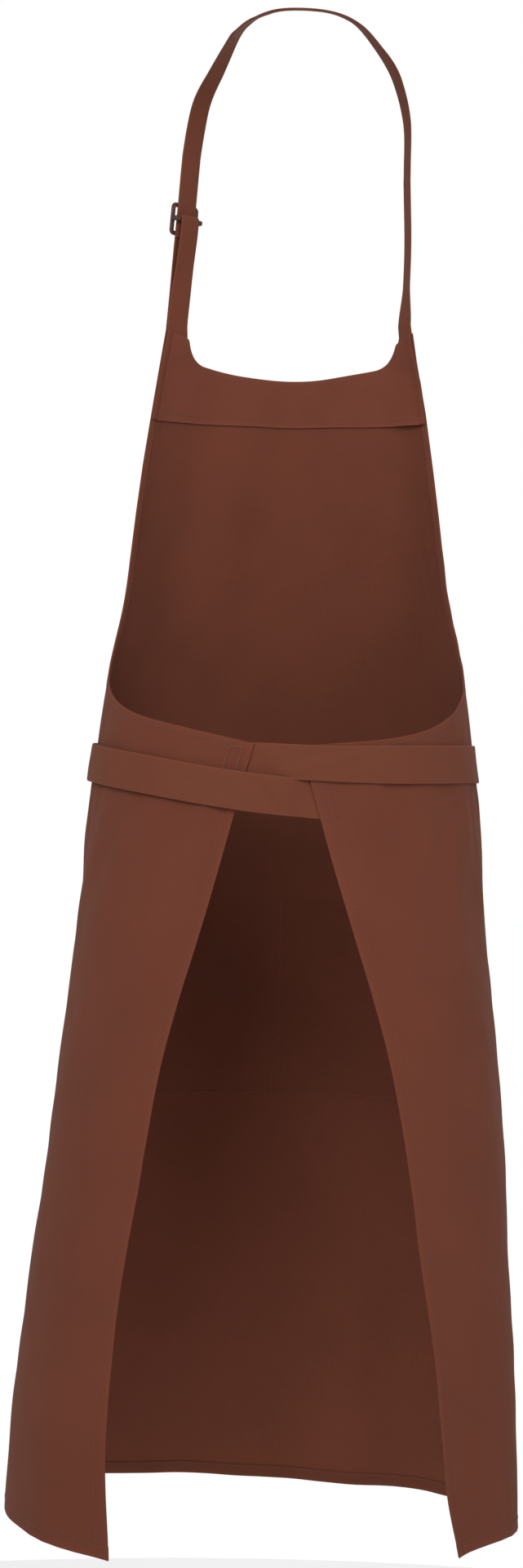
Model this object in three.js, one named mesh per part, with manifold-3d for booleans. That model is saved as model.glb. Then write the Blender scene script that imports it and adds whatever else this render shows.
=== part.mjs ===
// A woven-cloth bib apron in the shape it has when it is worn and tied.
// Frame: origin under the crest of the neck strap, +Z up, +Y to the front of the wearer, millimetres.
// Heights are counted from the waist line, where the ties go round. A place on the cloth is an arc
// length from the front centre, a height, and how far it stands off the middle of the panel's cloth.
import * as THREE from "three";
import { mergeVertices } from "three/addons/utils/BufferGeometryUtils.js";
import Module from "manifold-3d";

// ---- Driving dimensions -------------------------------------------------------------------
const CREST_TO_WAIST = 607; // crest of the neck strap down to the waist line
const BIB_RISE = 375; // waist line to the bib's top corners
const NECKLINE_RISE = 337; // waist line to the lowest point of the neckline
const SKIRT_DROP = 583; // waist line to the hem
const PANEL_HALF_WIDTH = 383; // front centre to a back edge, along the cloth
const BIB_HALF_WIDTH = 108; // front centre to a top corner, along the cloth
const NECKLINE_HALF_WIDTH = 74; // flat part of the neckline
const CORNER_TAB = 20; // width of the tab that takes the neck strap
const TAB_SLANT = 7; // how much lower the tab's inner corner is than its outer one
const BIB_FLARE = 40; // how much wider each half of the bib gets down its straight side
const BIB_SIDE_DROP = 195; // height of the straight side
const BACK_RISE = 31; // waist line to the top of a back edge
const CLOTH = 1.2;
const STRAP_WIDTH = 20;
const STRAP_THICKNESS = 1.2;
const TIE_WIDTH = 30;
const TIE_THICKNESS = 1.2;
const FACING_DEPTH = 39; // at the front centre
const POCKET_HALF_WIDTH = 190;
const POCKET_TOP = -96;
const POCKET_HEIGHT = 165;
const POCKET_GAPE = 13; // how far a pocket mouth stands open
const TIE_TAIL_LENGTH = 185;
const BOW_LOOP_LENGTH = 78;
const LAYER_GAP = 0.8; // room between cloths that lie on each other
const SLIDER_HEIGHT = 27;
const SLIDER_BAR = 4;
const SLIDER_THICKNESS = 2.2;
const SLIDER_ARM = 3.4;
const SLIDER_RISE = 466; // waist line to the slider's middle
const STRAP_CLEARANCE = 0.5; // between the strap and the slider's bars
const THREAD = 0.9;
const SEAM_ALLOWANCE = 9; // from an edge to its row of stitches

// ---- The body that the cloth lies on --------------------------------------------------------
// Half sizes of the round section at a few heights above the waist line.
const BODY_WIDTH = [
  [-583, 202.3],
  [-497, 199.8],
  [-366, 190],
  [-236, 178.4],
  [-105, 163],
  [0, 153.5],
  [60, 145.8],
  [110, 140.5],
  [235, 143],
  [378, 150],
];
const BODY_FRONT = [[-583, 116], [0, 105], [110, 104], [378, 110]];
const BODY_BACK = [[-583, 128], [-360, 129], [-190, 132], [0, 110], [110, 106], [378, 110]];
const BODY_CENTRE_Y = 50; // the strap's crest lies behind the middle of the body
// How far to the wearer's right the middle of the section lies, at a few heights.
const SWAY = [
  [-583, -10.5],
  [-497, -7.5],
  [-432, -4.9],
  [-367, -3],
  [-300, 0.2],
  [-170, 1],
  [110, 1.6],
  [235, 0],
];
// How far round each back edge is pulled towards the back centre, at a few heights.
const LEFT_PULL = [[-583, 19], [-483, 4], [-370, -5], [-100, -4], [0, -3]];
const RIGHT_PULL = [[-583, -37], [-527, -22], [-426, -15], [-272, -3], [-100, 5], [0, 10]];
const HEM_LIFT = 9; // the hem's highest place, at the front on the left, hangs this much short
const HEM_LIFT_ARC = -150;
const HEM_LIFT_REACH = 120;
const BACK_DIP = 14; // the hem hangs this much lower at the back edges
// The right side sags a little under the ties.
const SIDE_SAG = 8;
const SIDE_SAG_ARC = 300;
const SIDE_SAG_REACH = 65;
const SIDE_SAG_HEIGHTS = [-110, 20];
// The right strap pulls its corner of the bib round, until it is nearly edge-on to the back.
const CORNER_CURL = (37 * Math.PI) / 180;
const CURL_HEIGHTS = [334, 382];
const CURL_PIVOT = BIB_HALF_WIDTH - 4;
const CURL_ARCS = [48, 82];

function smooth(table, h) {
  const last = table.length - 1;
  const slope = (i, j) => (table[j][1] - table[i][1]) / (table[j][0] - table[i][0]);
  const tangent = (i) => slope(Math.max(i - 1, 0), Math.min(i + 1, last));
  if (h <= table[0][0]) return table[0][1];
  if (h >= table[last][0]) return table[last][1];
  const k = table.findIndex((row) => row[0] > h) - 1;
  const span = table[k + 1][0] - table[k][0];
  const t = (h - table[k][0]) / span;
  const [a, b] = [table[k][1], table[k + 1][1]];
  const rise = t * t * (3 - 2 * t);
  const leave = t * (1 - t) * (1 - t) * span * tangent(k);
  const arrive = t * t * (t - 1) * span * tangent(k + 1);
  return a + (b - a) * rise + leave + arrive;
}

const below = (h) => Math.max(0, -h / SKIRT_DROP);

// A point of the section at height h, at turn t: 0 is the front centre, pi the back centre.
function onBody(t, h, off = 0) {
  const a = smooth(BODY_WIDTH, h);
  const b = smooth(Math.cos(t) > 0 ? BODY_FRONT : BODY_BACK, h);
  const normal = new THREE.Vector3(Math.sin(t) / a, Math.cos(t) / b, 0).normalize();
  const sway = smooth(SWAY, h);
  return new THREE.Vector3(
    sway + a * Math.sin(t) + off * normal.x,
    BODY_CENTRE_Y + b * Math.cos(t) + off * normal.y,
    h - CREST_TO_WAIST,
  );
}

// The turn at which the section's arc from the front centre reaches s, on the right-hand side.
function turnAt(s, h) {
  const steps = 360;
  let length = 0;
  let last = onBody(0, h);
  for (let i = 1; i <= steps; i++) {
    const next = onBody((Math.PI * i) / steps, h);
    const piece = next.distanceTo(last);
    if (length + piece >= s) return (Math.PI * (i - 1 + (s - length) / piece)) / steps;
    length += piece;
    last = next;
  }
  return Math.PI;
}

// The right corner's cloth turned about a place near the corner's outer end.
function curled(place, s, h) {
  const [low, high] = CURL_HEIGHTS;
  const up = THREE.MathUtils.clamp((h - low) / (high - low), 0, 1);
  const turn = -CORNER_CURL * up * THREE.MathUtils.smoothstep(s, ...CURL_ARCS);
  if (turn === 0) return place;
  const edge = onBody(turnAt(CURL_PIVOT, h), h);
  return place.sub(edge).applyAxisAngle(new THREE.Vector3(0, 0, 1), turn).add(edge);
}

// A place on the apron's cloth.
function onCloth(s, h, off = 0) {
  const pull = s < 0 ? -smooth(LEFT_PULL, h) : smooth(RIGHT_PULL, h);
  const low = THREE.MathUtils.clamp((BACK_RISE + 60 - h) / 60, 0, 1);
  const arc = s + pull * low * (s / PANEL_HALF_WIDTH) ** 2;
  const place = onBody(Math.sign(arc) * turnAt(Math.abs(arc), h), h, off);
  const reach = (s - HEM_LIFT_ARC) / HEM_LIFT_REACH;
  place.z += HEM_LIFT * below(h) ** 3 * Math.exp(-reach * reach);
  place.z -= BACK_DIP * below(h) ** 3 * (s / PANEL_HALF_WIDTH) ** 6;
  const sagReach = (s - SIDE_SAG_ARC) / SIDE_SAG_REACH;
  const sag = THREE.MathUtils.smoothstep(h, ...SIDE_SAG_HEIGHTS) * Math.exp(-sagReach * sagReach);
  place.z -= SIDE_SAG * sag;
  return curled(place, s, h);
}

// ---- Ways to make a closed solid ------------------------------------------------------------
// Rings of points, each ring the same number, joined side to side and closed at both ends.
function solidFromRings(rings) {
  const size = rings[0].length;
  const faces = [];
  for (let i = 0; i < rings.length - 1; i++) {
    const near = i * size;
    const far = near + size;
    for (let j = 0; j < size; j++) {
      const k = (j + 1) % size;
      faces.push(near + j, far + j, far + k, near + j, far + k, near + k);
    }
  }
  const end = (rings.length - 1) * size;
  for (let j = 1; j < size - 1; j++) {
    faces.push(0, j, j + 1, end, end + j + 1, end + j);
  }
  return outward(rings.flat(), faces);
}

// A geometry with its faces pointing out, whichever way its rings ran.
function outward(points, faces) {
  let volume = 0;
  for (let i = 0; i < faces.length; i += 3) {
    const [a, b, c] = [points[faces[i]], points[faces[i + 1]], points[faces[i + 2]]];
    volume += a.dot(b.clone().cross(c));
  }
  const turned = faces.slice();
  for (let i = 0; volume < 0 && i < turned.length; i += 3) {
    [turned[i + 1], turned[i + 2]] = [turned[i + 2], turned[i + 1]];
  }
  const geometry = new THREE.BufferGeometry().setFromPoints(points);
  geometry.setIndex(turned);
  geometry.computeVertexNormals();
  return geometry;
}

// A patch of cloth with two faces: columns of arc length, each from its bottom to its top, with
// rows that crowd towards the top when crowding is more than 1.
function patch({ columns, rows, crowding = 1, bottom, top, inner, outer }) {
  const points = [];
  const faces = [];
  const index = (side, i, j) => (side * columns.length + i) * (rows + 1) + j;
  const quad = (a, b, c, d) => faces.push(a, b, c, a, c, d);
  for (const off of [outer, inner]) {
    for (const s of columns) {
      for (let j = 0; j <= rows; j++) {
        const share = 1 - (1 - j / rows) ** crowding;
        const h = bottom(s) + (top(s) - bottom(s)) * share;
        points.push(onCloth(s, h, off(s, h)));
      }
    }
  }
  const right = columns.length - 1;
  for (let i = 0; i < right; i++) {
    for (let j = 0; j < rows; j++) {
      quad(index(0, i, j), index(0, i, j + 1), index(0, i + 1, j + 1), index(0, i + 1, j));
      quad(index(1, i, j), index(1, i + 1, j), index(1, i + 1, j + 1), index(1, i, j + 1));
    }
    quad(index(0, i, 0), index(0, i + 1, 0), index(1, i + 1, 0), index(1, i, 0));
    quad(index(0, i, rows), index(1, i, rows), index(1, i + 1, rows), index(0, i + 1, rows));
  }
  for (let j = 0; j < rows; j++) {
    quad(index(0, 0, j), index(1, 0, j), index(1, 0, j + 1), index(0, 0, j + 1));
    quad(index(0, right, j), index(0, right, j + 1), index(1, right, j + 1), index(1, right, j));
  }
  return outward(points, faces);
}

// A flat strap through stations, each with a place, a width direction, a face direction and, where
// the strap is gathered, the share of its width that is left.
function strap(stations, width, thickness) {
  const rings = stations.map(({ at, across, face, share = 1 }) => {
    const side = across.clone().multiplyScalar((width * share) / 2);
    const up = face.clone().multiplyScalar(thickness / 2);
    return [
      at.clone().sub(side).sub(up),
      at.clone().add(side).sub(up),
      at.clone().add(side).add(up),
      at.clone().sub(side).add(up),
    ];
  });
  return solidFromRings(rings);
}

// Stations along a run of points: the strap's face looks as near as it can to the way given.
function along(places, facing) {
  return places.map((at, i) => {
    const before = places[Math.max(i - 1, 0)];
    const after = places[Math.min(i + 1, places.length - 1)];
    const run = after.clone().sub(before).normalize();
    const across = facing[i].clone().cross(run).normalize();
    return { at, across, face: run.clone().cross(across).normalize() };
  });
}

// Stations whose width directions are given.
function leaning(places, widths) {
  return places.map((at, i) => {
    const before = places[Math.max(i - 1, 0)];
    const after = places[Math.min(i + 1, places.length - 1)];
    const run = after.clone().sub(before).normalize();
    return { at, across: widths[i], face: run.cross(widths[i]).normalize() };
  });
}

const outwardAt = (s, h) => onCloth(s, h, 1).sub(onCloth(s, h, 0)).normalize();

// A strap that lies on the cloth along a route of [arc length, height] places.
function clothStrap(route, off, width, thickness) {
  const places = route.map(([s, h]) => onCloth(s, h, off));
  const facing = route.map(([s, h]) => outwardAt(s, h));
  return strap(along(places, facing), width, thickness);
}

// The places of a route cut into steps no longer than the one given.
function stepped(route, step) {
  const out = [route[0]];
  for (let i = 1; i < route.length; i++) {
    const [from, to] = [route[i - 1], route[i]];
    const count = Math.ceil(Math.hypot(to[0] - from[0], to[1] - from[1]) / step);
    for (let k = 1; k <= count; k++) {
      const t = k / count;
      out.push([from[0] + (to[0] - from[0]) * t, from[1] + (to[1] - from[1]) * t]);
    }
  }
  return out;
}

// ---- The cut of the apron, right half, as [arc length, height] places --------------------------
const CURVE_POINTS = 7;
const tabInner = BIB_HALF_WIDTH - CORNER_TAB;

const SHOULDER_RISE = 9; // of the neckline where it turns up into the tab
const SHOULDER_TURN = 13;
const ARM_PULL = [BIB_HALF_WIDTH + 58, BACK_RISE + 42]; // the armhole bends towards this place
const ARM_END = [PANEL_HALF_WIDTH - 93, BACK_RISE + 18];

function neckline() {
  const shoulder = [NECKLINE_HALF_WIDTH, NECKLINE_RISE + SHOULDER_RISE];
  const path = new THREE.Path();
  path.moveTo(0, NECKLINE_RISE);
  path.quadraticCurveTo(NECKLINE_HALF_WIDTH / 2, NECKLINE_RISE, ...shoulder);
  const innerTop = BIB_RISE - TAB_SLANT;
  path.quadraticCurveTo(tabInner - 2, NECKLINE_RISE + SHOULDER_TURN, tabInner, innerTop - 2);
  path.lineTo(tabInner + 1, innerTop);
  return path.getPoints(CURVE_POINTS).map((p) => [p.x, p.y]);
}

function armhole() {
  const path = new THREE.Path();
  path.moveTo(BIB_HALF_WIDTH, BIB_RISE);
  path.lineTo(BIB_HALF_WIDTH + BIB_FLARE, BIB_RISE - BIB_SIDE_DROP);
  path.quadraticCurveTo(...ARM_PULL, ...ARM_END);
  path.lineTo(PANEL_HALF_WIDTH, BACK_RISE);
  return path.getPoints(CURVE_POINTS).map((p) => [p.x, p.y]);
}

const neckEdge = neckline();
const armEdge = armhole();
const cutTop = [...neckEdge, ...armEdge];

function heightOn(outline, s) {
  const x = Math.abs(s);
  const k = Math.max(1, outline.findIndex((p) => p[0] >= x));
  const [from, to] = [outline[k - 1], outline[k]];
  return from[1] + ((to[1] - from[1]) * (x - from[0])) / (to[0] - from[0]);
}

// Columns that meet every corner of the outline, with no gap wider than the step, both halves.
function columnsFor(outline, limit, step) {
  const own = outline.map((p) => p[0]).filter((x) => x < limit - 1);
  const half = [0];
  for (const x of [...own, limit]) {
    const from = half[half.length - 1];
    const count = Math.ceil((x - from) / step);
    for (let k = 1; k <= count; k++) half.push(from + ((x - from) * k) / count);
  }
  const left = half.slice(1).reverse().map((x) => -x);
  return [...left, ...half];
}

// The row of stitches a seam allowance inside an edge.
function insideEdge(edge, distance) {
  return edge.map((p, i) => {
    const from = edge[Math.max(i - 1, 0)];
    const to = edge[Math.min(i + 1, edge.length - 1)];
    const length = Math.hypot(to[0] - from[0], to[1] - from[1]);
    const normal = [(to[1] - from[1]) / length, -(to[0] - from[0]) / length];
    return [p[0] + normal[0] * distance, p[1] + normal[1] * distance];
  });
}

const mirrored = (route) => route.map(([s, h]) => [-s, h]);

// ---- Colours ----------------------------------------------------------------------------------
const look = (colour, roughness) => ({ color: colour, roughness, metalness: 0 });
const CLOTH_LOOK = look(0x7a463a, 0.9);
const INNER_LOOK = look(0x6e4032, 0.9);
const STRAP_LOOK = look(0x70402f, 0.85);
const THREAD_LOOK = look(0x5c3428, 0.7);
const PLASTIC_LOOK = look(0x5a3a30, 0.45);

const apron = new THREE.Group();

function add(name, geometry, looks) {
  const mesh = new THREE.Mesh(geometry, new THREE.MeshStandardMaterial(looks));
  mesh.name = name;
  apron.add(mesh);
}

// ---- Panel, facing and pocket -----------------------------------------------------------------
const half = CLOTH / 2;
const facingOff = -(half + 2 * LAYER_GAP + STRAP_THICKNESS);
const COLUMN_STEP = 16;
const PANEL_ROWS = 26;
const PANEL_CROWDING = 2;

add("apron_panel", patch({
  columns: columnsFor(cutTop, PANEL_HALF_WIDTH, COLUMN_STEP),
  rows: PANEL_ROWS,
  crowding: PANEL_CROWDING,
  bottom: () => -SKIRT_DROP,
  top: (s) => heightOn(cutTop, s),
  inner: () => -half,
  outer: () => half,
}), CLOTH_LOOK);

const facingBottom = NECKLINE_RISE - FACING_DEPTH;
const facingMargin = 2;
const facingLimit = BIB_HALF_WIDTH + 8; // the facing stops short of the bib's sides
const facingTop = cutTop.map(([s, h]) => [s, h - facingMargin]);

add("bib_facing", patch({
  columns: columnsFor(facingTop.filter((p) => p[0] < facingLimit), facingLimit, COLUMN_STEP),
  rows: 9,
  bottom: () => facingBottom,
  top: (s) => heightOn(facingTop, s),
  inner: () => facingOff - CLOTH,
  outer: () => facingOff,
}), INNER_LOOK);

function pocketGap(s, h) {
  const across = Math.sin((Math.PI * Math.abs(s)) / POCKET_HALF_WIDTH) ** 2;
  const up = (h - (POCKET_TOP - POCKET_HEIGHT)) / POCKET_HEIGHT;
  return half + LAYER_GAP + POCKET_GAPE * across * Math.max(0, up) ** 1.2;
}

add("front_pocket", patch({
  columns: columnsFor([], POCKET_HALF_WIDTH, COLUMN_STEP),
  rows: 6,
  bottom: () => POCKET_TOP - POCKET_HEIGHT,
  top: () => POCKET_TOP,
  inner: pocketGap,
  outer: (s, h) => pocketGap(s, h) + CLOTH,
}), CLOTH_LOOK);

// ---- Neck strap: over the neck, down the left side through the slider to a free end ---------------
const legAngle = (43 * Math.PI) / 180; // the left leg's width turns this far from straight across
const LEG_LEAN = 0.0757; // the left leg leans in by this share of its rise
const legUp = new THREE.Vector3(LEG_LEAN, 0, 1).normalize();
const legFace = new THREE.Vector3(-Math.sin(legAngle), Math.cos(legAngle), 0);
legFace.addScaledVector(legUp, -legFace.dot(legUp)).normalize();
const legAcross = legFace.clone().cross(legUp);
const cornerArc = BIB_HALF_WIDTH - CORNER_TAB / 2;
const LEG_STAND_OFF = 3.4; // the leg passes outside the bib's corner
const leg = onCloth(-cornerArc, BIB_RISE, LEG_STAND_OFF);
const LEG_TOP = 520; // the leg is straight below this height
const TAIL_END = 318; // free end of the strap, in front of the bib
const RIGHT_JOIN = 500; // below this the right-hand leg follows the bib
const sewnOff = -(half + LAYER_GAP + STRAP_THICKNESS / 2 + 0.1);
const rightCorner = onCloth(cornerArc, BIB_RISE, sewnOff);
const rightLeg = new THREE.Vector3(rightCorner.x, rightCorner.y, RIGHT_JOIN - CREST_TO_WAIST);
const crestHeight = STRAP_THICKNESS / 2;

const onLeg = (h) => leg.clone().addScaledVector(legUp, (h - BIB_RISE) / legUp.z);
// Over the neck: shares of the half span, shares of the way back, and the height below the crest.
const LEFT_ARCH = [
  [0.914, 0.92, 48.5],
  [0.765, 0.752, 26],
  [0.592, 0.496, 6.4],
  [0.49, 0.33, 2.2],
  [0.345, 0.146, 1.1],
  [0.128, 0.015, 0.3],
];
const RIGHT_ARCH = [
  [0.222, 0.03, 0.3],
  [0.465, 0.2, 2],
  [0.677, 0.48, 10.3],
  [0.878, 0.774, 28.8],
  [0.984, 0.95, 57.8],
];
const archTo = (end, shares) => shares.map(
  ([x, y, drop]) => new THREE.Vector3(end.x * x, end.y * y, crestHeight - drop),
);
const overNeck = new THREE.CatmullRomCurve3([
  onLeg(LEG_TOP - 30),
  onLeg(LEG_TOP - 4),
  onLeg(LEG_TOP),
  ...archTo(onLeg(LEG_TOP), LEFT_ARCH),
  ...archTo(rightLeg, RIGHT_ARCH),
  rightLeg.clone().add(new THREE.Vector3(0, 0, 14)),
  rightLeg,
], false, "centripetal");

// The strap's width points to the front over the neck and turns to lie on the chest at each side.
const RIGHT_TURN = (102 * Math.PI) / 180;
const ARCH_TILT = 0.2; // its front edge rises by this share of its width over the neck
function neckFace(t, run) {
  const left = THREE.MathUtils.smoothstep(t, 0.1, 0.42);
  const right = THREE.MathUtils.smoothstep(t, 0.58, 0.9);
  const turn = legAngle + (Math.PI / 2 - legAngle) * left + (RIGHT_TURN - Math.PI / 2) * right;
  const tilt = ARCH_TILT * left * (1 - right);
  return new THREE.Vector3(Math.cos(turn), Math.sin(turn), tilt).cross(run).negate();
}

const ARCH_STEPS = 36;
const archTurns = Array.from({ length: ARCH_STEPS + 1 }, (_, i) => i / ARCH_STEPS);
const archPlaces = archTurns.map((t) => overNeck.getPointAt(t));
const archFaces = archTurns.map((t) => neckFace(t, overNeck.getTangentAt(t)));
const neckStations = along([onLeg(TAIL_END), ...archPlaces], [legFace, ...archFaces]);
neckStations[0] = { at: onLeg(TAIL_END), across: neckStations[1].across, face: neckStations[1].face };
add("neck_strap", strap(neckStations, STRAP_WIDTH, STRAP_THICKNESS), STRAP_LOOK);

const SEWN_LENGTH = 26; // of strap between the bib and its facing
const joinGap = 0.4;
const rightTop = rightLeg.clone().add(new THREE.Vector3(0, 0, -joinGap));
// The width direction of a strap that lies on the cloth at a height.
function acrossAt(s, h) {
  const step = 1;
  return onCloth(s - step, h).sub(onCloth(s + step, h)).normalize();
}
const aboveCorner = rightCorner.clone().add(new THREE.Vector3(0, 0, 7));
const levelTurn = (across) => Math.atan2(across.y, across.x);
const cornerTurn = levelTurn(acrossAt(cornerArc, BIB_RISE)); // of the strap's width at the bib's top
const rightPlaces = [];
const rightWidths = [];
const RIGHT_STEPS = 10;
for (let i = 0; i <= RIGHT_STEPS; i++) {
  const t = i / RIGHT_STEPS;
  const turn = RIGHT_TURN + (cornerTurn - RIGHT_TURN) * THREE.MathUtils.smoothstep(t, 0.45, 1);
  rightPlaces.push(rightTop.clone().lerp(aboveCorner, t));
  rightWidths.push(new THREE.Vector3(Math.cos(turn), Math.sin(turn), 0));
}
for (const depth of [2, 6, 10, 14, 18, 22, SEWN_LENGTH]) {
  rightPlaces.push(onCloth(cornerArc, BIB_RISE - depth, sewnOff));
  rightWidths.push(acrossAt(cornerArc, BIB_RISE - depth));
}
const rightStations = leaning(rightPlaces, rightWidths);
add("neck_strap_right_leg", strap(rightStations, STRAP_WIDTH, STRAP_THICKNESS), STRAP_LOOK);

// ---- Slider, and the short strap that holds it to the bib's left corner ---------------------------
// Both are drawn in the leg's own frame: across, away from the wearer, up from the slider's middle.
const legFrame = new THREE.Matrix4().makeBasis(legAcross, legFace, legUp);
legFrame.setPosition(onLeg(SLIDER_RISE));
const inLeg = (x, y, z) => new THREE.Vector3(x, y, z).applyMatrix4(legFrame);

const slotWidth = STRAP_WIDTH + 2 * STRAP_CLEARANCE + 1;
const frontOfStrap = STRAP_THICKNESS / 2 + STRAP_CLEARANCE;
const barBack = -(frontOfStrap + STRAP_THICKNESS + STRAP_CLEARANCE); // room for the sewn turn
const barFront = barBack - SLIDER_THICKNESS;

const wasm = await Module();
wasm.setup();

function roundedRectangle(width, height, radius) {
  const [x, y] = [width / 2 - radius, height / 2 - radius];
  const shape = new THREE.Shape();
  shape.absarc(x, y, radius, 0, Math.PI / 2);
  shape.absarc(-x, y, radius, Math.PI / 2, Math.PI);
  shape.absarc(-x, -y, radius, Math.PI, 1.5 * Math.PI);
  shape.absarc(x, -y, radius, 1.5 * Math.PI, 2 * Math.PI);
  return shape;
}

// A plate with its outline across and up, from one depth to another.
function plate(shape, from, to, segments = 4) {
  const geometry = new THREE.ExtrudeGeometry(shape, {
    depth: to - from,
    bevelEnabled: false,
    curveSegments: segments,
  });
  geometry.rotateX(Math.PI / 2);
  geometry.translate(0, to, 0);
  return geometry;
}

function toManifold(geometry) {
  const bare = geometry.clone();
  bare.deleteAttribute("normal");
  bare.deleteAttribute("uv");
  const merged = mergeVertices(bare);
  const mesh = new wasm.Mesh({
    numProp: 3,
    vertProperties: new Float32Array(merged.attributes.position.array),
    triVerts: new Uint32Array(merged.index.array),
  });
  return new wasm.Manifold(mesh);
}

function fromManifold(solid) {
  const mesh = solid.getMesh();
  const geometry = new THREE.BufferGeometry();
  geometry.setAttribute("position", new THREE.BufferAttribute(mesh.vertProperties, 3));
  geometry.setIndex(new THREE.BufferAttribute(mesh.triVerts, 1));
  geometry.computeVertexNormals();
  return geometry;
}

function sliderBody() {
  const outerWidth = slotWidth + 2 * SLIDER_ARM;
  const frame = toManifold(plate(
    roundedRectangle(outerWidth, SLIDER_HEIGHT, 4),
    frontOfStrap,
    frontOfStrap + SLIDER_THICKNESS,
  ));
  const window = toManifold(plate(
    roundedRectangle(slotWidth, SLIDER_HEIGHT - 2 * SLIDER_BAR, 1),
    frontOfStrap - 1,
    frontOfStrap + SLIDER_THICKNESS + 1,
    2,
  ));
  const bridge = toManifold(plate(
    roundedRectangle(outerWidth, SLIDER_BAR, 1.2),
    barFront,
    frontOfStrap + SLIDER_THICKNESS,
    3,
  ));
  const passage = toManifold(plate(
    roundedRectangle(slotWidth, SLIDER_BAR + 4, 0.2),
    barBack,
    frontOfStrap + SLIDER_THICKNESS + 1,
    1,
  ));
  return fromManifold(frame.subtract(window).add(bridge.subtract(passage)));
}

const slider = sliderBody();
slider.applyMatrix4(legFrame);
add("strap_slider", slider, PLASTIC_LOOK);

// The short strap: up from the bib's corner, over the slider's middle bar and down behind it.
const turnMiddle = (barBack + barFront) / 2;
const turnDepth = SLIDER_THICKNESS / 2 + STRAP_CLEARANCE + STRAP_THICKNESS / 2;
const turnHeight = SLIDER_BAR / 2 + 2 * STRAP_CLEARANCE + STRAP_THICKNESS;
const TURN_STEPS = 6;
const SEWN_TURN = 15; // how far the turned end hangs behind the bar
const cornerPlace = onCloth(-cornerArc, BIB_RISE + 6, sewnOff);
const anchorPlaces = [
  onCloth(-cornerArc, BIB_RISE - SEWN_LENGTH, sewnOff),
  onCloth(-cornerArc, BIB_RISE - 4, sewnOff),
  cornerPlace,
  inLeg(0, turnMiddle - turnDepth + 1, -SLIDER_HEIGHT),
  inLeg(0, turnMiddle - turnDepth, -SLIDER_BAR),
];
for (let i = 0; i <= TURN_STEPS; i++) {
  const angle = (Math.PI * i) / TURN_STEPS;
  const depth = turnMiddle - turnDepth * Math.cos(angle);
  anchorPlaces.push(inLeg(0, depth, turnHeight * Math.sin(angle)));
}
anchorPlaces.push(inLeg(0, turnMiddle + turnDepth, -SEWN_TURN));
const leftCornerAcross = outwardAt(-cornerArc, BIB_RISE).cross(new THREE.Vector3(0, 0, 1)).negate();
const anchorWidths = anchorPlaces.map((_, i) => (i < 3 ? leftCornerAcross : legAcross));
const anchorStations = leaning(anchorPlaces, anchorWidths);
add("slider_strap", strap(anchorStations, STRAP_WIDTH - 1, STRAP_THICKNESS), STRAP_LOOK);

// ---- Waist ties: from each back edge across the back, round the other side to the knot -----------
const layer = TIE_THICKNESS + LAYER_GAP;
const firstTieOff = half + LAYER_GAP + TIE_THICKNESS / 2;
const THREAD_ROOM = 2; // room for the box of thread between the two ties where they cross
const secondTieOff = firstTieOff + layer + THREAD_ROOM;
const KNOT_RISE = 16;
const KNOT_WIDTH = 24;
const KNOT_HEIGHT = 27;
const KNOT_DEPTH = 13;

// side 1 starts on the wearer's right back edge; heights are given along the way round.
function wrappedTie(side, startArc, off, heights) {
  const steps = 46;
  const start = turnAt(startArc, heights[0][1]);
  const front = turnAt(KNOT_WIDTH / 2 + 4, KNOT_RISE);
  const total = 2 * Math.PI - start - front;
  const places = [];
  const slopes = [];
  for (let i = 0; i <= steps; i++) {
    const t = i / steps;
    const turn = side * (start + total * t);
    const h = smooth(heights, t);
    places.push(onBody(turn, h, off));
    slopes.push(onBody(turn, h + TIE_WIDTH / 2).sub(onBody(turn, h - TIE_WIDTH / 2)).normalize());
  }
  return strap(leaning(places, slopes), TIE_WIDTH, TIE_THICKNESS);
}

const leftTieHeights = [[0, 17.2], [0.15, 16], [0.45, 18.5], [0.75, 18.5], [1, KNOT_RISE]];
const rightTieHeights = [[0, -11.6], [0.1, -7], [0.33, 7.5], [0.5, 14.5], [0.75, 16], [1, KNOT_RISE]];
const TIE_INSET = 17; // from a back edge to the end of its tie
const tieStart = PANEL_HALF_WIDTH - TIE_INSET;
add("waist_tie_left", wrappedTie(-1, tieStart, firstTieOff, leftTieHeights), STRAP_LOOK);
add("waist_tie_right", wrappedTie(1, tieStart, secondTieOff, rightTieHeights), STRAP_LOOK);

// ---- The bow at the front waist -------------------------------------------------------------------
const knotBack = onBody(0, KNOT_RISE, half + LAYER_GAP).y;
const knotMiddle = knotBack + KNOT_DEPTH / 2;
const waist = (x, y, h) => new THREE.Vector3(x, y, h - CREST_TO_WAIST);
const knot = new THREE.SphereGeometry(0.5, 14, 10);
knot.scale(KNOT_WIDTH, KNOT_DEPTH, KNOT_HEIGHT);
knot.translate(0, knotMiddle, KNOT_RISE - CREST_TO_WAIST);
add("tie_knot", knot, STRAP_LOOK);

const GATHERED = 0.5; // share of a tie's width where the knot squeezes it
const LOOP_DROOP = 0.18;

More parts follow.
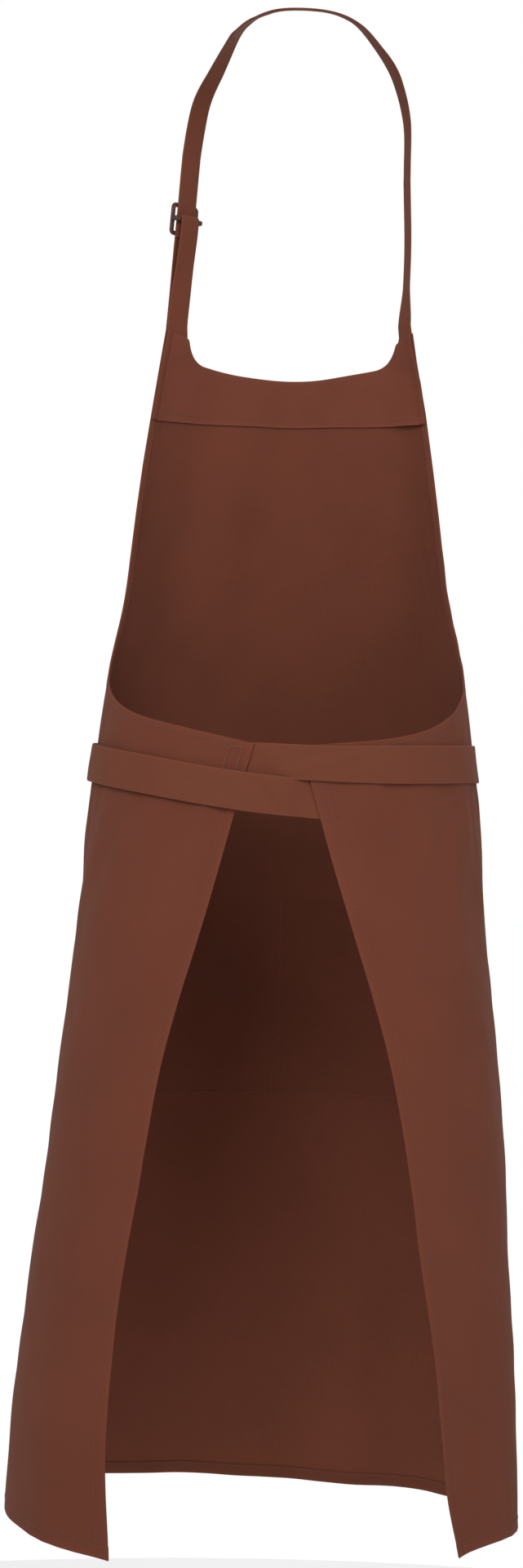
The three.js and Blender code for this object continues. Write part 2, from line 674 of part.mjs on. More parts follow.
// A loop leaves the knot, turns at its far end and comes back in front of itself.
function bowLoop(side) {
  const LOOP_GAPE = 9;
  const inset = KNOT_WIDTH / 2 + 1.5;
  const near = knotMiddle - 1 + secondTieOff;
  const drop = (x) => -LOOP_DROOP * x;
  const places = [];
  const turns = 8;
  const bend = LOOP_GAPE / 2;
  for (const share of [0, 0.35, 0.7]) {
    const x = inset + share * (BOW_LOOP_LENGTH - inset - bend);
    places.push(waist(side * x, near + bend * (1 - share) * 0.2, KNOT_RISE + drop(x)));
  }
  for (let i = 0; i <= turns; i++) {
    const angle = (Math.PI * i) / turns;
    const x = BOW_LOOP_LENGTH - bend + bend * Math.sin(angle);
    places.push(waist(side * x, near + bend - bend * Math.cos(angle), KNOT_RISE + drop(x)));
  }
  for (const share of [0.7, 0.35, 0]) {
    const x = inset + share * (BOW_LOOP_LENGTH - inset - bend);
    places.push(waist(side * x, near + 2 * bend - (1 - share) * 3, KNOT_RISE + drop(x)));
  }
  const up = new THREE.Vector3(-side * LOOP_DROOP, 0, -1).normalize().negate();
  const stations = leaning(places, places.map(() => up));
  for (const station of [stations[0], stations[stations.length - 1]]) station.share = GATHERED;
  return strap(stations, TIE_WIDTH - 3, TIE_THICKNESS);
}

// An end hangs from under the knot, a little outwards.
function tieEnd(side, depth) {
  const top = KNOT_RISE - KNOT_HEIGHT / 2 - 1;
  const spread = [0, 0.15, 0.5, 1];
  const places = spread.map((t) => waist(side * (5 + 16 * t), depth + 2 * t, top - TIE_TAIL_LENGTH * t));
  const stations = along(places, places.map(() => new THREE.Vector3(0, 1, 0)));
  stations[0].share = GATHERED;
  return strap(stations, TIE_WIDTH, TIE_THICKNESS);
}

add("bow_loop_left", bowLoop(-1), STRAP_LOOK);
add("bow_loop_right", bowLoop(1), STRAP_LOOK);
add("tie_end_left", tieEnd(-1, knotMiddle + 3), STRAP_LOOK);
add("tie_end_right", tieEnd(1, knotMiddle + 3 + layer + LAYER_GAP), STRAP_LOOK);

// ---- Rows of thread --------------------------------------------------------------------------------
const THREAD_HEIGHT = 0.4;
const THREAD_STEP = 14;
const outerThread = half + LAYER_GAP + THREAD_HEIGHT / 2;
const innerThread = facingOff - CLOTH - 0.5 - THREAD_HEIGHT / 2;

function threadRow(name, route, off = outerThread, step = THREAD_STEP) {
  add(name, clothStrap(stepped(route, step), off, THREAD, THREAD_HEIGHT), THREAD_LOOK);
}

const armRow = insideEdge(armEdge, SEAM_ALLOWANCE).slice(0, -1);
const neckRow = insideEdge(neckEdge, SEAM_ALLOWANCE).slice(0, CURVE_POINTS + 1);
const sideRow = [
  [PANEL_HALF_WIDTH - SEAM_ALLOWANCE, BACK_RISE - TIE_WIDTH - 34],
  [PANEL_HALF_WIDTH - SEAM_ALLOWANCE, -SKIRT_DROP + 2 * SEAM_ALLOWANCE],
];
threadRow("armhole_thread_right", armRow);
threadRow("armhole_thread_left", mirrored(armRow));
threadRow("neckline_thread", [...mirrored(neckRow).reverse(), ...neckRow.slice(1)]);
threadRow("side_hem_thread_right", sideRow, outerThread, 60);
threadRow("side_hem_thread_left", mirrored(sideRow), outerThread, 60);
threadRow("bottom_hem_thread", [
  [-(PANEL_HALF_WIDTH - SEAM_ALLOWANCE), -SKIRT_DROP + SEAM_ALLOWANCE],
  [PANEL_HALF_WIDTH - SEAM_ALLOWANCE, -SKIRT_DROP + SEAM_ALLOWANCE],
]);
threadRow("facing_thread", [
  [-(facingLimit - 4), facingBottom + 6],
  [facingLimit - 4, facingBottom + 6],
], innerThread);
threadRow("pocket_divider_thread", [
  [0, POCKET_TOP - 2],
  [0, POCKET_TOP - POCKET_HEIGHT + 6],
], outerThread + LAYER_GAP + CLOTH, 60);
threadRow("pocket_thread", [
  [-(POCKET_HALF_WIDTH - 3), POCKET_TOP - 2],
  [-(POCKET_HALF_WIDTH - 3), POCKET_TOP - POCKET_HEIGHT + 3],
  [POCKET_HALF_WIDTH - 3, POCKET_TOP - POCKET_HEIGHT + 3],
  [POCKET_HALF_WIDTH - 3, POCKET_TOP - 2],
], outerThread + LAYER_GAP + CLOTH);

const BOX_THREAD_ROOM = TIE_THICKNESS / 2 + 1.1 + THREAD_HEIGHT / 2; // off the tie's middle

const BOX_THREAD_WIDTH = 11;
const boxEnd = tieStart - 2;

// Three sides and a bit of the box of thread that holds the end of a tie, ending at an arc length.
function boxThread(name, end, low, high, off) {
  const start = end - BOX_THREAD_WIDTH;
  const corners = [[end, low], [end, high], [start, high], [start, low + THREAD]];
  threadRow(name, corners, off, 40);
}

boxThread("tie_box_thread_left", -boxEnd, 4, 27, firstTieOff + BOX_THREAD_ROOM);
boxThread("tie_box_thread_right", boxEnd + BOX_THREAD_WIDTH, -22, 0, secondTieOff + BOX_THREAD_ROOM);

export default apron;
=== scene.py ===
# %% [markdown]
# A bib apron in woven cloth, worn and tied, seen from behind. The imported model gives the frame:
# every place below is worked out from it and from the same few sizes that the cut of the apron has.

# %% Load the frame
import math

import bmesh
import bpy
import numpy as np
from mathutils import Matrix, Vector


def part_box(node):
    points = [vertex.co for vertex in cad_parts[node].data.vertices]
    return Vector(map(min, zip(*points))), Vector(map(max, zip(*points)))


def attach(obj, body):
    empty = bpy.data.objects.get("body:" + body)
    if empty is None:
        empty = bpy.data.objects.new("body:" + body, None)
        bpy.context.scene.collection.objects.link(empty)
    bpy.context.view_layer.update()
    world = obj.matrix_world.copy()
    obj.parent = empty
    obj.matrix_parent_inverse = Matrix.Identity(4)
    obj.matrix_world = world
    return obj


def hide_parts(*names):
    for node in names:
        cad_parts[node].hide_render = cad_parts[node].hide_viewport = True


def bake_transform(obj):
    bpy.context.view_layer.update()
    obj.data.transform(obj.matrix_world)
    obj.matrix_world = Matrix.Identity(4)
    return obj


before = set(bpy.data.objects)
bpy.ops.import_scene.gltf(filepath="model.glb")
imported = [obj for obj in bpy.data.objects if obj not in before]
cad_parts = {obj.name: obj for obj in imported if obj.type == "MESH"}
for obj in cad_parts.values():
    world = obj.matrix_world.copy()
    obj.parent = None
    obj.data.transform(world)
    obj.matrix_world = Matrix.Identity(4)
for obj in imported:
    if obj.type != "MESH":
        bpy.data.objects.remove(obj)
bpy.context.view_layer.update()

# %% [markdown]
# Heights are counted from the waist line, which lies a fixed drop under the crest of the neck strap.
# The cut of the apron is known from its flat sizes, so they are read from the frame where it shows
# them and named here where it doesn't.

# %% Sizes of the apron, in metres
CREST_TO_WAIST = 0.607
BIB_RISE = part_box("apron_panel")[1].z + CREST_TO_WAIST
SKIRT_DROP = 0.583
PANEL_HALF_WIDTH = 0.383
BIB_HALF_WIDTH = 0.108
CORNER_TAB = 0.020
NECKLINE_RISE = 0.337
NECKLINE_HALF_WIDTH = 0.074
BACK_RISE = 0.031
STRAP_WIDTH = 0.020
TIE_WIDTH = 0.030
FACING_BOTTOM = NECKLINE_RISE - 0.039
POCKET_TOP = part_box("front_pocket")[1].z + CREST_TO_WAIST
POCKET_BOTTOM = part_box("front_pocket")[0].z + CREST_TO_WAIST
POCKET_HALF_WIDTH = 0.190
CLOTH = 0.0007
STRAP_THICKNESS = 0.0014
SLIDER_RISE = 0.466
WAIST_Z = -CREST_TO_WAIST
print("bib rises", round(BIB_RISE, 3), "skirt drops", round(SKIRT_DROP, 3))

# %% [markdown]
# The light is a soft studio set: white all round, a pale floor well below the hem, a broad soft box
# above and behind the apron on the left, and a weak fill on the right. The camera stands level with
# the waist, 2.4 metres off, and leans by about a degree, as a hand-set one does.

# %% Camera
CAMERA_DISTANCE = 2.40
BODY_CENTRE_Y = 0.050
camera_data = bpy.data.cameras.new("camera")
camera_data.sensor_width = 36.0
camera_data.lens = 68.85
camera = bpy.data.objects.new("camera", camera_data)
bpy.context.scene.collection.objects.link(camera)
camera.location = (-0.0167, BODY_CENTRE_Y - CAMERA_DISTANCE, WAIST_Z)
camera.rotation_euler = (math.radians(90), math.radians(-1.1), 0)
bpy.context.scene.camera = camera

# %% Stage and lights
FLOOR_DROP = 0.45


def plain_material(name, colour, roughness):
    material = bpy.data.materials.new(name)
    material.use_nodes = True
    shader = material.node_tree.nodes["Principled BSDF"]
    shader.inputs["Base Color"].default_value = (*colour, 1)
    shader.inputs["Roughness"].default_value = roughness
    return material


def make_floor(radius, sides=96):
    """A pale round floor."""
    bpy.ops.object.select_all(action="DESELECT")
    bpy.ops.mesh.primitive_circle_add(vertices=sides, radius=radius, fill_type="NGON",
                                      location=(0, BODY_CENTRE_Y, WAIST_Z - SKIRT_DROP - FLOOR_DROP))
    floor = bpy.context.active_object
    floor.name = "floor"
    bpy.ops.object.transform_apply(location=True, rotation=True, scale=True)
    floor.data.materials.append(plain_material("pale_paper", (0.88, 0.88, 0.88), 0.9))
    return floor


def soft_box(name, place, target, size, power):
    lamp = bpy.data.lights.new(name, "AREA")
    lamp.shape = "RECTANGLE"
    lamp.size, lamp.size_y = size
    lamp.energy = power
    holder = bpy.data.objects.new(name, lamp)
    bpy.context.scene.collection.objects.link(holder)
    holder.location = place
    aim = Vector(target) - Vector(place)
    holder.rotation_euler = aim.to_track_quat("-Z", "Y").to_euler()
    return holder


def white_world(seen, light):
    """White to the camera, and a weaker even light on the object."""
    world = bpy.data.worlds.new("studio")
    world.use_nodes = True
    tree = world.node_tree
    background = tree.nodes["Background"]
    background.inputs["Color"].default_value = (1, 1, 1, 1)
    path = tree.nodes.new("ShaderNodeLightPath")
    strength = tree.nodes.new("ShaderNodeMapRange")
    tree.links.new(path.outputs["Is Camera Ray"], strength.inputs["Value"])
    strength.inputs["To Min"].default_value = light
    strength.inputs["To Max"].default_value = seen
    tree.links.new(strength.outputs["Result"], background.inputs["Strength"])
    bpy.context.scene.world = world


chest = (0, BODY_CENTRE_Y, WAIST_Z + 0.05)
make_floor(1.6)
soft_box("key", (-1.0, -2.4, 1.1), chest, (1.6, 1.6), 46)
soft_box("fill", (2.0, -2.0, 0.0), chest, (1.2, 2.0), 16)
soft_box("front_fill", (0.6, 2.8, 0.8), chest, (2.0, 2.0), 40)
white_world(1.0, 0.55)
bpy.context.scene.view_settings.view_transform = "Standard"
print("stage and lights are in place")

# %% [markdown]
# The cloth lies on a round body whose section is an ellipse at every height. Three short tables give
# its half width and its depth to the front and back; between their heights a smooth curve runs
# through them. The apron was cut flat, so a place on it is an arc length from the front centre and
# a height, and bending the cut round the body keeps those lengths true.

# %% The body under the cloth
BODY_WIDTH = [(-0.583, 0.2023), (-0.497, 0.1998), (-0.366, 0.190), (-0.236, 0.1784), (-0.105, 0.163),
              (0, 0.1535), (0.060, 0.1458), (0.110, 0.1405), (0.235, 0.143), (0.378, 0.150)]
BODY_FRONT = [(-0.583, 0.116), (0, 0.105), (0.110, 0.104), (0.378, 0.110)]
BODY_BACK = [(-0.583, 0.128), (-0.360, 0.129), (-0.190, 0.132), (0, 0.110), (0.110, 0.106), (0.378, 0.110)]
SWAY = [(-0.583, -0.0105), (-0.497, -0.0075), (-0.432, -0.0049), (-0.367, -0.003), (-0.300, 0.0002),
        (-0.170, 0.001), (0.110, 0.0016), (0.235, 0)]
LEFT_PULL = [(-0.583, 0.019), (-0.483, 0.004), (-0.370, -0.005), (-0.100, -0.004), (0, -0.003)]
RIGHT_PULL = [(-0.583, -0.037), (-0.527, -0.022), (-0.426, -0.015), (-0.272, -0.003), (-0.100, 0.005),
              (0, 0.010)]
HEM_LIFT, HEM_LIFT_ARC, HEM_LIFT_REACH = 0.009, -0.150, 0.120
BACK_DIP = 0.014
SIDE_SAG, SIDE_SAG_ARC, SIDE_SAG_REACH, SIDE_SAG_HEIGHTS = 0.008, 0.300, 0.065, (-0.110, 0.020)
CORNER_CURL, CURL_HEIGHTS, CURL_ARCS, CURL_PIVOT = math.radians(37), (0.334, 0.382), (0.048, 0.082), 0.104


def smooth(table, h):
    """A smooth curve through a table's rows, level past its ends."""
    heights, values = (np.array(column, float) for column in zip(*table))
    h = np.clip(np.asarray(h, float), heights[0], heights[-1])
    last = len(heights) - 1
    slopes = []
    for i in range(last + 1):
        low, high = max(i - 1, 0), min(i + 1, last)
        slopes.append((values[high] - values[low]) / (heights[high] - heights[low]))
    slopes = np.array(slopes)
    k = np.clip(np.searchsorted(heights, h, side="right") - 1, 0, last - 1)
    span = heights[k + 1] - heights[k]
    t = (h - heights[k]) / span
    rise = t * t * (3 - 2 * t)
    bend = t * (1 - t) ** 2 * span * slopes[k] + t * t * (t - 1) * span * slopes[k + 1]
    return values[k] + (values[k + 1] - values[k]) * rise + bend


def below(h):
    return np.clip(-np.asarray(h, float) / SKIRT_DROP, 0, None)


def on_body(turn, h, off=0.0):
    """Points of the body's skin: turn 0 is the front centre, pi the back centre."""
    turn, h, off = np.broadcast_arrays(np.asarray(turn, float), h, off)
    a = smooth(BODY_WIDTH, h)
    b = np.where(np.cos(turn) > 0, smooth(BODY_FRONT, h), smooth(BODY_BACK, h))
    normal = np.stack([np.sin(turn) / a, np.cos(turn) / b], axis=-1)
    normal /= np.linalg.norm(normal, axis=-1, keepdims=True)
    x = smooth(SWAY, h) + a * np.sin(turn) + off * normal[..., 0]
    y = BODY_CENTRE_Y + b * np.cos(turn) + off * normal[..., 1]
    return np.stack([x, y, h + WAIST_Z], axis=-1)


ARC_LEVELS = np.linspace(-0.600, 0.400, 201)
ARC_STEPS = np.linspace(0, 0.560, 281)
turns = np.linspace(0, math.pi, 721)
arc_table = []
for level in ARC_LEVELS:
    ring = on_body(turns, level)
    pieces = np.linalg.norm(np.diff(ring, axis=0), axis=1)
    arc_table.append(np.interp(ARC_STEPS, np.concatenate([[0], np.cumsum(pieces)]), turns))
arc_table = np.array(arc_table)
print("waist half way round", round(float(pieces.sum()), 3), "at the top of the bib")


def turn_at(arc, h):
    """The turn at which the cloth reaches an arc length, either way from the front centre."""
    arc, h = np.broadcast_arrays(np.asarray(arc, float), np.asarray(h, float))
    i = np.clip((h - ARC_LEVELS[0]) / (ARC_LEVELS[1] - ARC_LEVELS[0]), 0, len(ARC_LEVELS) - 1.001)
    j = np.clip(np.abs(arc) / (ARC_STEPS[1] - ARC_STEPS[0]), 0, len(ARC_STEPS) - 1.001)
    i0, j0 = i.astype(int), j.astype(int)
    u, v = i - i0, j - j0
    low = arc_table[i0, j0] * (1 - v) + arc_table[i0, j0 + 1] * v
    high = arc_table[i0 + 1, j0] * (1 - v) + arc_table[i0 + 1, j0 + 1] * v
    return np.sign(arc) * (low * (1 - u) + high * u)


# %% [markdown]
# Real cloth is never quite smooth. Long soft folds fall from the waist to the hem, the bib hollows a
# little between its straps, and the ties pinch fine creases into the waist. One function says how far
# each place stands off, and the panel, its hems, the pocket and the thread all read it, so that they
# stay on each other.

# %% Folds of the worn cloth
def smoothstep(t, low, high):
    t = np.clip((t - low) / (high - low), 0, 1)
    return t * t * (3 - 2 * t)


def bump(x, centre, width):
    return np.exp(-(((x - centre) / width) ** 2))


def folds(s, h):
    """How far the cloth stands off the body at a place of the cut."""
    s, h = np.broadcast_arrays(np.asarray(s, float), np.asarray(h, float))
    down = below(h)
    out = 0.0030 * down * np.sin(2 * math.pi * (s / 0.166 + 0.21) + 0.9 * down)
    out += 0.0022 * down ** 1.5 * np.sin(2 * math.pi * (s / 0.094 + 0.12) - 1.4 * down)
    out += 0.0060 * down * bump(s, 0.285, 0.055) - 0.0050 * down * bump(s, 0.205, 0.040)
    out += 0.0045 * down * bump(s, -0.300, 0.050) - 0.0040 * down * bump(s, -0.235, 0.035)
    bib = np.clip(h / 0.30, 0, 1)
    bib = bib * (1 - smoothstep(np.abs(s), 0.070, 0.125))
    out += bib * (0.0022 * np.sin(2 * math.pi * s / 0.115 + 0.6 + 2.2 * h) - 0.0030 * bump(s, 0.030, 0.045))
    out += 0.0016 * bib * np.sin(2 * math.pi * (s / 0.070 - h / 0.30) + 1.1)
    pinch = bump(h, -0.006, 0.040) * (1 - bump(h, 0.012, 0.016))
    out += 0.0007 * pinch * np.sin(2 * math.pi * s / 0.021 + 3 * np.sin(s * 31))
    out += 0.0009 * bump(h, -0.055, 0.060) * np.sin(2 * math.pi * s / 0.047 + 5 * h / 0.1)
    out += 0.0004 * np.sin(s * 143 + 4 * np.sin(h * 21)) * np.sin(h * 61 + 3 * np.sin(s * 17))
    return out


def curled(place, s, h):
    """The right corner turned about a place near its outer end, as its strap pulls it round."""
    up = np.clip((h - CURL_HEIGHTS[0]) / (CURL_HEIGHTS[1] - CURL_HEIGHTS[0]), 0, 1)
    turn = -CORNER_CURL * up * smoothstep(s, *CURL_ARCS)
    pivot = on_body(turn_at(CURL_PIVOT, h), h)
    x, y = place[..., 0] - pivot[..., 0], place[..., 1] - pivot[..., 1]
    turned_x = pivot[..., 0] + x * np.cos(turn) - y * np.sin(turn)
    turned_y = pivot[..., 1] + x * np.sin(turn) + y * np.cos(turn)
    return np.stack([turned_x, turned_y, place[..., 2]], axis=-1)


def on_cloth(s, h, off=0.0, folded=1.0):
    """Points on the apron's cloth, off its middle, with its folds."""
    s, h, off = np.broadcast_arrays(np.asarray(s, float), np.asarray(h, float), np.asarray(off, float))
    pull = np.where(s < 0, -smooth(LEFT_PULL, h), smooth(RIGHT_PULL, h))
    low = np.clip((BACK_RISE + 0.060 - h) / 0.060, 0, 1)
    arc = s + pull * low * (s / PANEL_HALF_WIDTH) ** 2
    place = on_body(turn_at(arc, h), h, off + folded * folds(s, h))
    place[..., 2] += HEM_LIFT * below(h) ** 3 * bump(s, HEM_LIFT_ARC, HEM_LIFT_REACH)
    place[..., 2] -= BACK_DIP * below(h) ** 3 * (s / PANEL_HALF_WIDTH) ** 6
    place[..., 2] -= SIDE_SAG * smoothstep(h, *SIDE_SAG_HEIGHTS) * bump(s, SIDE_SAG_ARC, SIDE_SAG_REACH)
    return curled(place, s, h)


# %% [markdown]
# The outline of the cut is drawn once for the right half: a shallow neckline, a tab for the strap, a
# straight side and the round armhole. Each curve is a quadratic one between two places, so a few
# named corners draw it all.

# %% The cut of the apron
def quadratic(start, pull, end, count):
    t = np.linspace(0, 1, count + 1)[1:, None]
    start, pull, end = (np.array(p, float) for p in (start, pull, end))
    return (1 - t) ** 2 * start + 2 * t * (1 - t) * pull + t * t * end


TAB_INNER, TAB_TOP = BIB_HALF_WIDTH - CORNER_TAB, BIB_RISE - 0.007
CURVE_POINTS = 16
neck_shoulder = (NECKLINE_HALF_WIDTH, NECKLINE_RISE + 0.009)
neck_edge = np.vstack([
    [(0, NECKLINE_RISE)],
    quadratic((0, NECKLINE_RISE), (NECKLINE_HALF_WIDTH / 2, NECKLINE_RISE), neck_shoulder, CURVE_POINTS),
    quadratic(neck_shoulder, (TAB_INNER - 0.002, NECKLINE_RISE + 0.013), (TAB_INNER, TAB_TOP - 0.002),
              CURVE_POINTS),
    [(TAB_INNER + 0.001, TAB_TOP)],
])
arm_start = (BIB_HALF_WIDTH + 0.040, BIB_RISE - 0.195)
arm_pull = (BIB_HALF_WIDTH + 0.058, BACK_RISE + 0.042)
arm_end = (PANEL_HALF_WIDTH - 0.093, BACK_RISE + 0.018)
arm_edge = np.vstack([
    [(BIB_HALF_WIDTH, BIB_RISE), arm_start],
    quadratic(arm_start, arm_pull, arm_end, 2 * CURVE_POINTS),
    [(PANEL_HALF_WIDTH, BACK_RISE)],
])
cut_top = np.vstack([neck_edge, arm_edge])


def height_on(outline, s):
    return np.interp(np.abs(s), outline[:, 0], outline[:, 1])


def columns_for(outline, limit, step):
    """Arc lengths across both halves that meet every corner of the outline."""
    half = [0.0]
    for x in [*outline[:, 0][outline[:, 0] < limit - 1e-3], limit]:
        count = max(1, math.ceil((x - half[-1]) / step))
        half.extend(half[-1] + (x - half[-1]) * (k + 1) / count for k in range(count) if x > half[-1] + 1e-6)
    half = np.unique(np.round(half, 6))
    return np.concatenate([-half[:0:-1], half])

# %% [markdown]
# Cotton drill is woven from two sets of threads, so its finish is a fine twill at half a millimetre,
# streaks where a thread runs thick, slow patches where the dye has faded, and a soft sheen from loose
# fibres. The pattern is laid in the cloth's own flat sizes, which every piece carries as its UV map in
# metres, and a painted attribute called tone carries painted light: lighter folded edges, partly wear and
# partly a painted highlight, and painted shade inside the apron and where the cloth is doubled.

# %% Helpers for materials
class Nodes:
    """Adds nodes to a material and joins them, so that a recipe reads from top to bottom."""

    def __init__(self, name):
        self.material = bpy.data.materials.new(name)
        self.material.use_nodes = True
        self.tree = self.material.node_tree
        self.shader = self.tree.nodes["Principled BSDF"]

    def add(self, kind, *inputs, output=0, **settings):
        node = self.tree.nodes.new(kind)
        for key, value in settings.items():
            setattr(node, key, value)
        for place, value in inputs:
            if isinstance(value, bpy.types.NodeSocket):
                self.tree.links.new(value, node.inputs[place])
            else:
                node.inputs[place].default_value = value
        return node.outputs[output]

    def math(self, operation, a, b=0.0):
        return self.add("ShaderNodeMath", (0, a), (1, b), operation=operation)

    def mix(self, share, a, b, blend="MIX"):
        place = [(0, share), (6, a), (7, b)]
        return self.add("ShaderNodeMix", *place, output=2, data_type="RGBA", blend_type=blend)

    def noise(self, vector, scale, detail=3.0):
        return self.add("ShaderNodeTexNoise", ("Vector", vector), ("Scale", scale), ("Detail", detail))

    def stretch(self, vector, x, y):
        return self.add("ShaderNodeVectorMath", (0, vector), (1, (x, y, 1.0)), operation="MULTIPLY")

    def grey(self, low, high, value):
        """Maps 0..1 to low..high."""
        return self.add("ShaderNodeMapRange", ("Value", value), ("To Min", low), ("To Max", high))

    def to(self, socket, value):
        if isinstance(value, bpy.types.NodeSocket):
            self.tree.links.new(value, self.shader.inputs[socket])
        else:
            self.shader.inputs[socket].default_value = value


def linear(red, green, blue):
    """A colour named in screen values, 0 to 255, as the light values that a shader works in."""
    return tuple((v / 255 / 12.92) if v < 10.3 else ((v / 255 + 0.055) / 1.055) ** 2.4
                 for v in (red, green, blue))


# %% Woven cloth
def woven(name, colour, pitch, slub=0.10, fade=0.10, sheen=0.05, roughness=0.86, ribbed=False):
    """A twill, or a ribbed band, in one dye: pitch is the distance between threads in metres."""
    n = Nodes(name)
    place = n.add("ShaderNodeUVMap")
    parts = n.tree.nodes.new("ShaderNodeSeparateXYZ")
    n.tree.links.new(place, parts.inputs[0])
    across, along = parts.outputs[0], parts.outputs[1]
    turn = 2 * math.pi / pitch
    if ribbed:
        rib = n.math("SINE", n.math("MULTIPLY", along, turn))
        second = n.math("SINE", n.math("MULTIPLY", across, turn * 0.5))
    else:
        rib = n.math("SINE", n.math("MULTIPLY", n.math("ADD", across, along), turn))
        second = n.math("SINE", n.math("MULTIPLY", across, turn * 1.6))
    weave = n.math("ADD", n.math("MULTIPLY", rib, 0.35), n.math("MULTIPLY", second, 0.15))
    warp = n.noise(n.stretch(place, 1.0, 0.035), 1500.0, 2.0)
    weft = n.noise(n.stretch(place, 0.035, 1.0), 1500.0, 2.0)
    streaks = n.math("MULTIPLY", n.math("ADD", warp, weft), 0.5)
    patches = n.noise(place, 14.0, 4.0)
    # The tone attribute brings painted light into the colour: lighter folded edges, partly wear and partly a
    # painted highlight, and painted shade inside the apron.
    tone = n.add("ShaderNodeAttribute", output=2, attribute_name="tone")
    level = n.math("MULTIPLY", n.grey(1 - slub, 1 + slub, streaks), n.grey(1 - fade, 1 + fade, patches))
    level = n.math("MULTIPLY", level, n.grey(0.93, 1.04, n.math("ADD", weave, 0.5)))
    level = n.math("MULTIPLY", level, tone)
    shade = n.add("ShaderNodeCombineXYZ", (0, level), (1, level), (2, level))
    dyed = n.add("ShaderNodeVectorMath", (0, colour), (1, shade), operation="MULTIPLY")
    warm = n.mix(n.math("MULTIPLY", patches, 0.10), dyed, (*linear(124, 66, 44), 1))
    n.to("Base Color", warm)
    n.to("Roughness", n.grey(roughness - 0.06, roughness + 0.08, streaks))
    n.to("Sheen Weight", sheen)
    n.to("Sheen Roughness", 0.55)
    n.to("Sheen Tint", (0.95, 0.72, 0.60, 1))
    n.to("Specular IOR Level", 0.12)
    height = n.math("ADD", weave, n.math("MULTIPLY", streaks, 1.2))
    bumps = n.add("ShaderNodeBump", ("Height", height), ("Strength", 0.35), ("Distance", pitch * 0.5))
    n.to("Normal", bumps)
    return n.material


CLOTH_COLOUR = linear(106, 57, 42)
FACING_COLOUR = linear(110, 60, 45)
BAND_COLOUR = linear(109, 60, 44)
drill = woven("brown_drill", CLOTH_COLOUR, 0.00075)
facing_drill = woven("brown_facing_drill", FACING_COLOUR, 0.00070, slub=0.07, fade=0.06)
band = woven("brown_band", BAND_COLOUR, 0.0009, slub=0.12, fade=0.05, sheen=0.05, ribbed=True)


# %% Thread and plastic
def thread_material():
    n = Nodes("brown_thread")
    place = n.add("ShaderNodeTexCoord", output=3)
    twist = n.noise(n.stretch(place, 1.0, 1.0), 2600.0, 1.0)
    n.to("Base Color", n.mix(twist, (*linear(84, 44, 32), 1), (*linear(122, 72, 54), 1)))
    n.to("Roughness", n.grey(0.55, 0.75, twist))
    n.to("Sheen Weight", 0.2)
    n.to("Normal", n.add("ShaderNodeBump", ("Height", twist), ("Strength", 0.3), ("Distance", 0.0002)))
    return n.material


def plastic_material():
    """Moulded nylon: dark brown, half matt, with the faint sparkle of a fine eroded mould."""
    n = Nodes("brown_moulded_plastic")
    place = n.add("ShaderNodeTexCoord", output=3)
    grain = n.noise(place, 2400.0, 2.0)
    rubs = n.noise(place, 160.0, 4.0)
    tone = n.mix(n.grey(0.0, 0.45, rubs), (*linear(62, 35, 27), 1), (*linear(88, 53, 42), 1))
    n.to("Base Color", tone)
    n.to("Roughness", n.grey(0.34, 0.60, rubs))
    n.to("Normal", n.add("ShaderNodeBump", ("Height", grain), ("Strength", 0.12), ("Distance", 0.0001)))
    return n.material


thread = thread_material()
moulded = plastic_material()
print("materials", [m.name for m in bpy.data.materials])

# %% [markdown]
# A sheet is made as a closed skin: a grid of places on its outer face, the same grid on its inner face,
# and a rim that joins them. Both faces are worked out from the body, so the cloth keeps an even
# thickness round tight folds, and two sheets that lie on each other can't cross.

# %% Ways to make cloth
def closed_mesh(name, points, faces, flat_places, material, tone=1.0):
    """An object from points and faces, turned outwards, with its flat places as the UV map."""
    points = np.asarray(points, float)
    faces = np.asarray(faces)
    corners = points[faces]
    fans = np.cross(corners[:, 1] - corners[:, 0], corners[:, 2] - corners[:, 0])
    if faces.shape[1] == 4:
        fans = fans + np.cross(corners[:, 2] - corners[:, 0], corners[:, 3] - corners[:, 0])
    if float((fans * (corners.mean(axis=1) - points.mean(axis=0))).sum()) < 0:
        faces = faces[:, ::-1]
    mesh = bpy.data.meshes.new(name)
    mesh.from_pydata(points.tolist(), [], faces.tolist())
    layer = mesh.uv_layers.new(name="UVMap")
    layer.uv.foreach_set("vector", np.asarray(flat_places, float)[faces.ravel()].ravel())
    shade = mesh.attributes.new("tone", "FLOAT", "POINT")
    shade.data.foreach_set("value", np.broadcast_to(np.asarray(tone, float), len(points)).copy())
    mesh.polygons.foreach_set("use_smooth", [True] * len(mesh.polygons))
    mesh.materials.append(material)
    piece = bpy.data.objects.new(name, mesh)
    bpy.context.scene.collection.objects.link(piece)
    return piece


def crisp(piece, angle=50):
    """Keeps rims sharp and everything flatter than the angle smooth."""
    bpy.ops.object.select_all(action="DESELECT")
    piece.select_set(True)
    bpy.context.view_layer.objects.active = piece
    bpy.ops.object.shade_smooth_by_angle(angle=math.radians(angle))
    piece.select_set(False)
    return piece


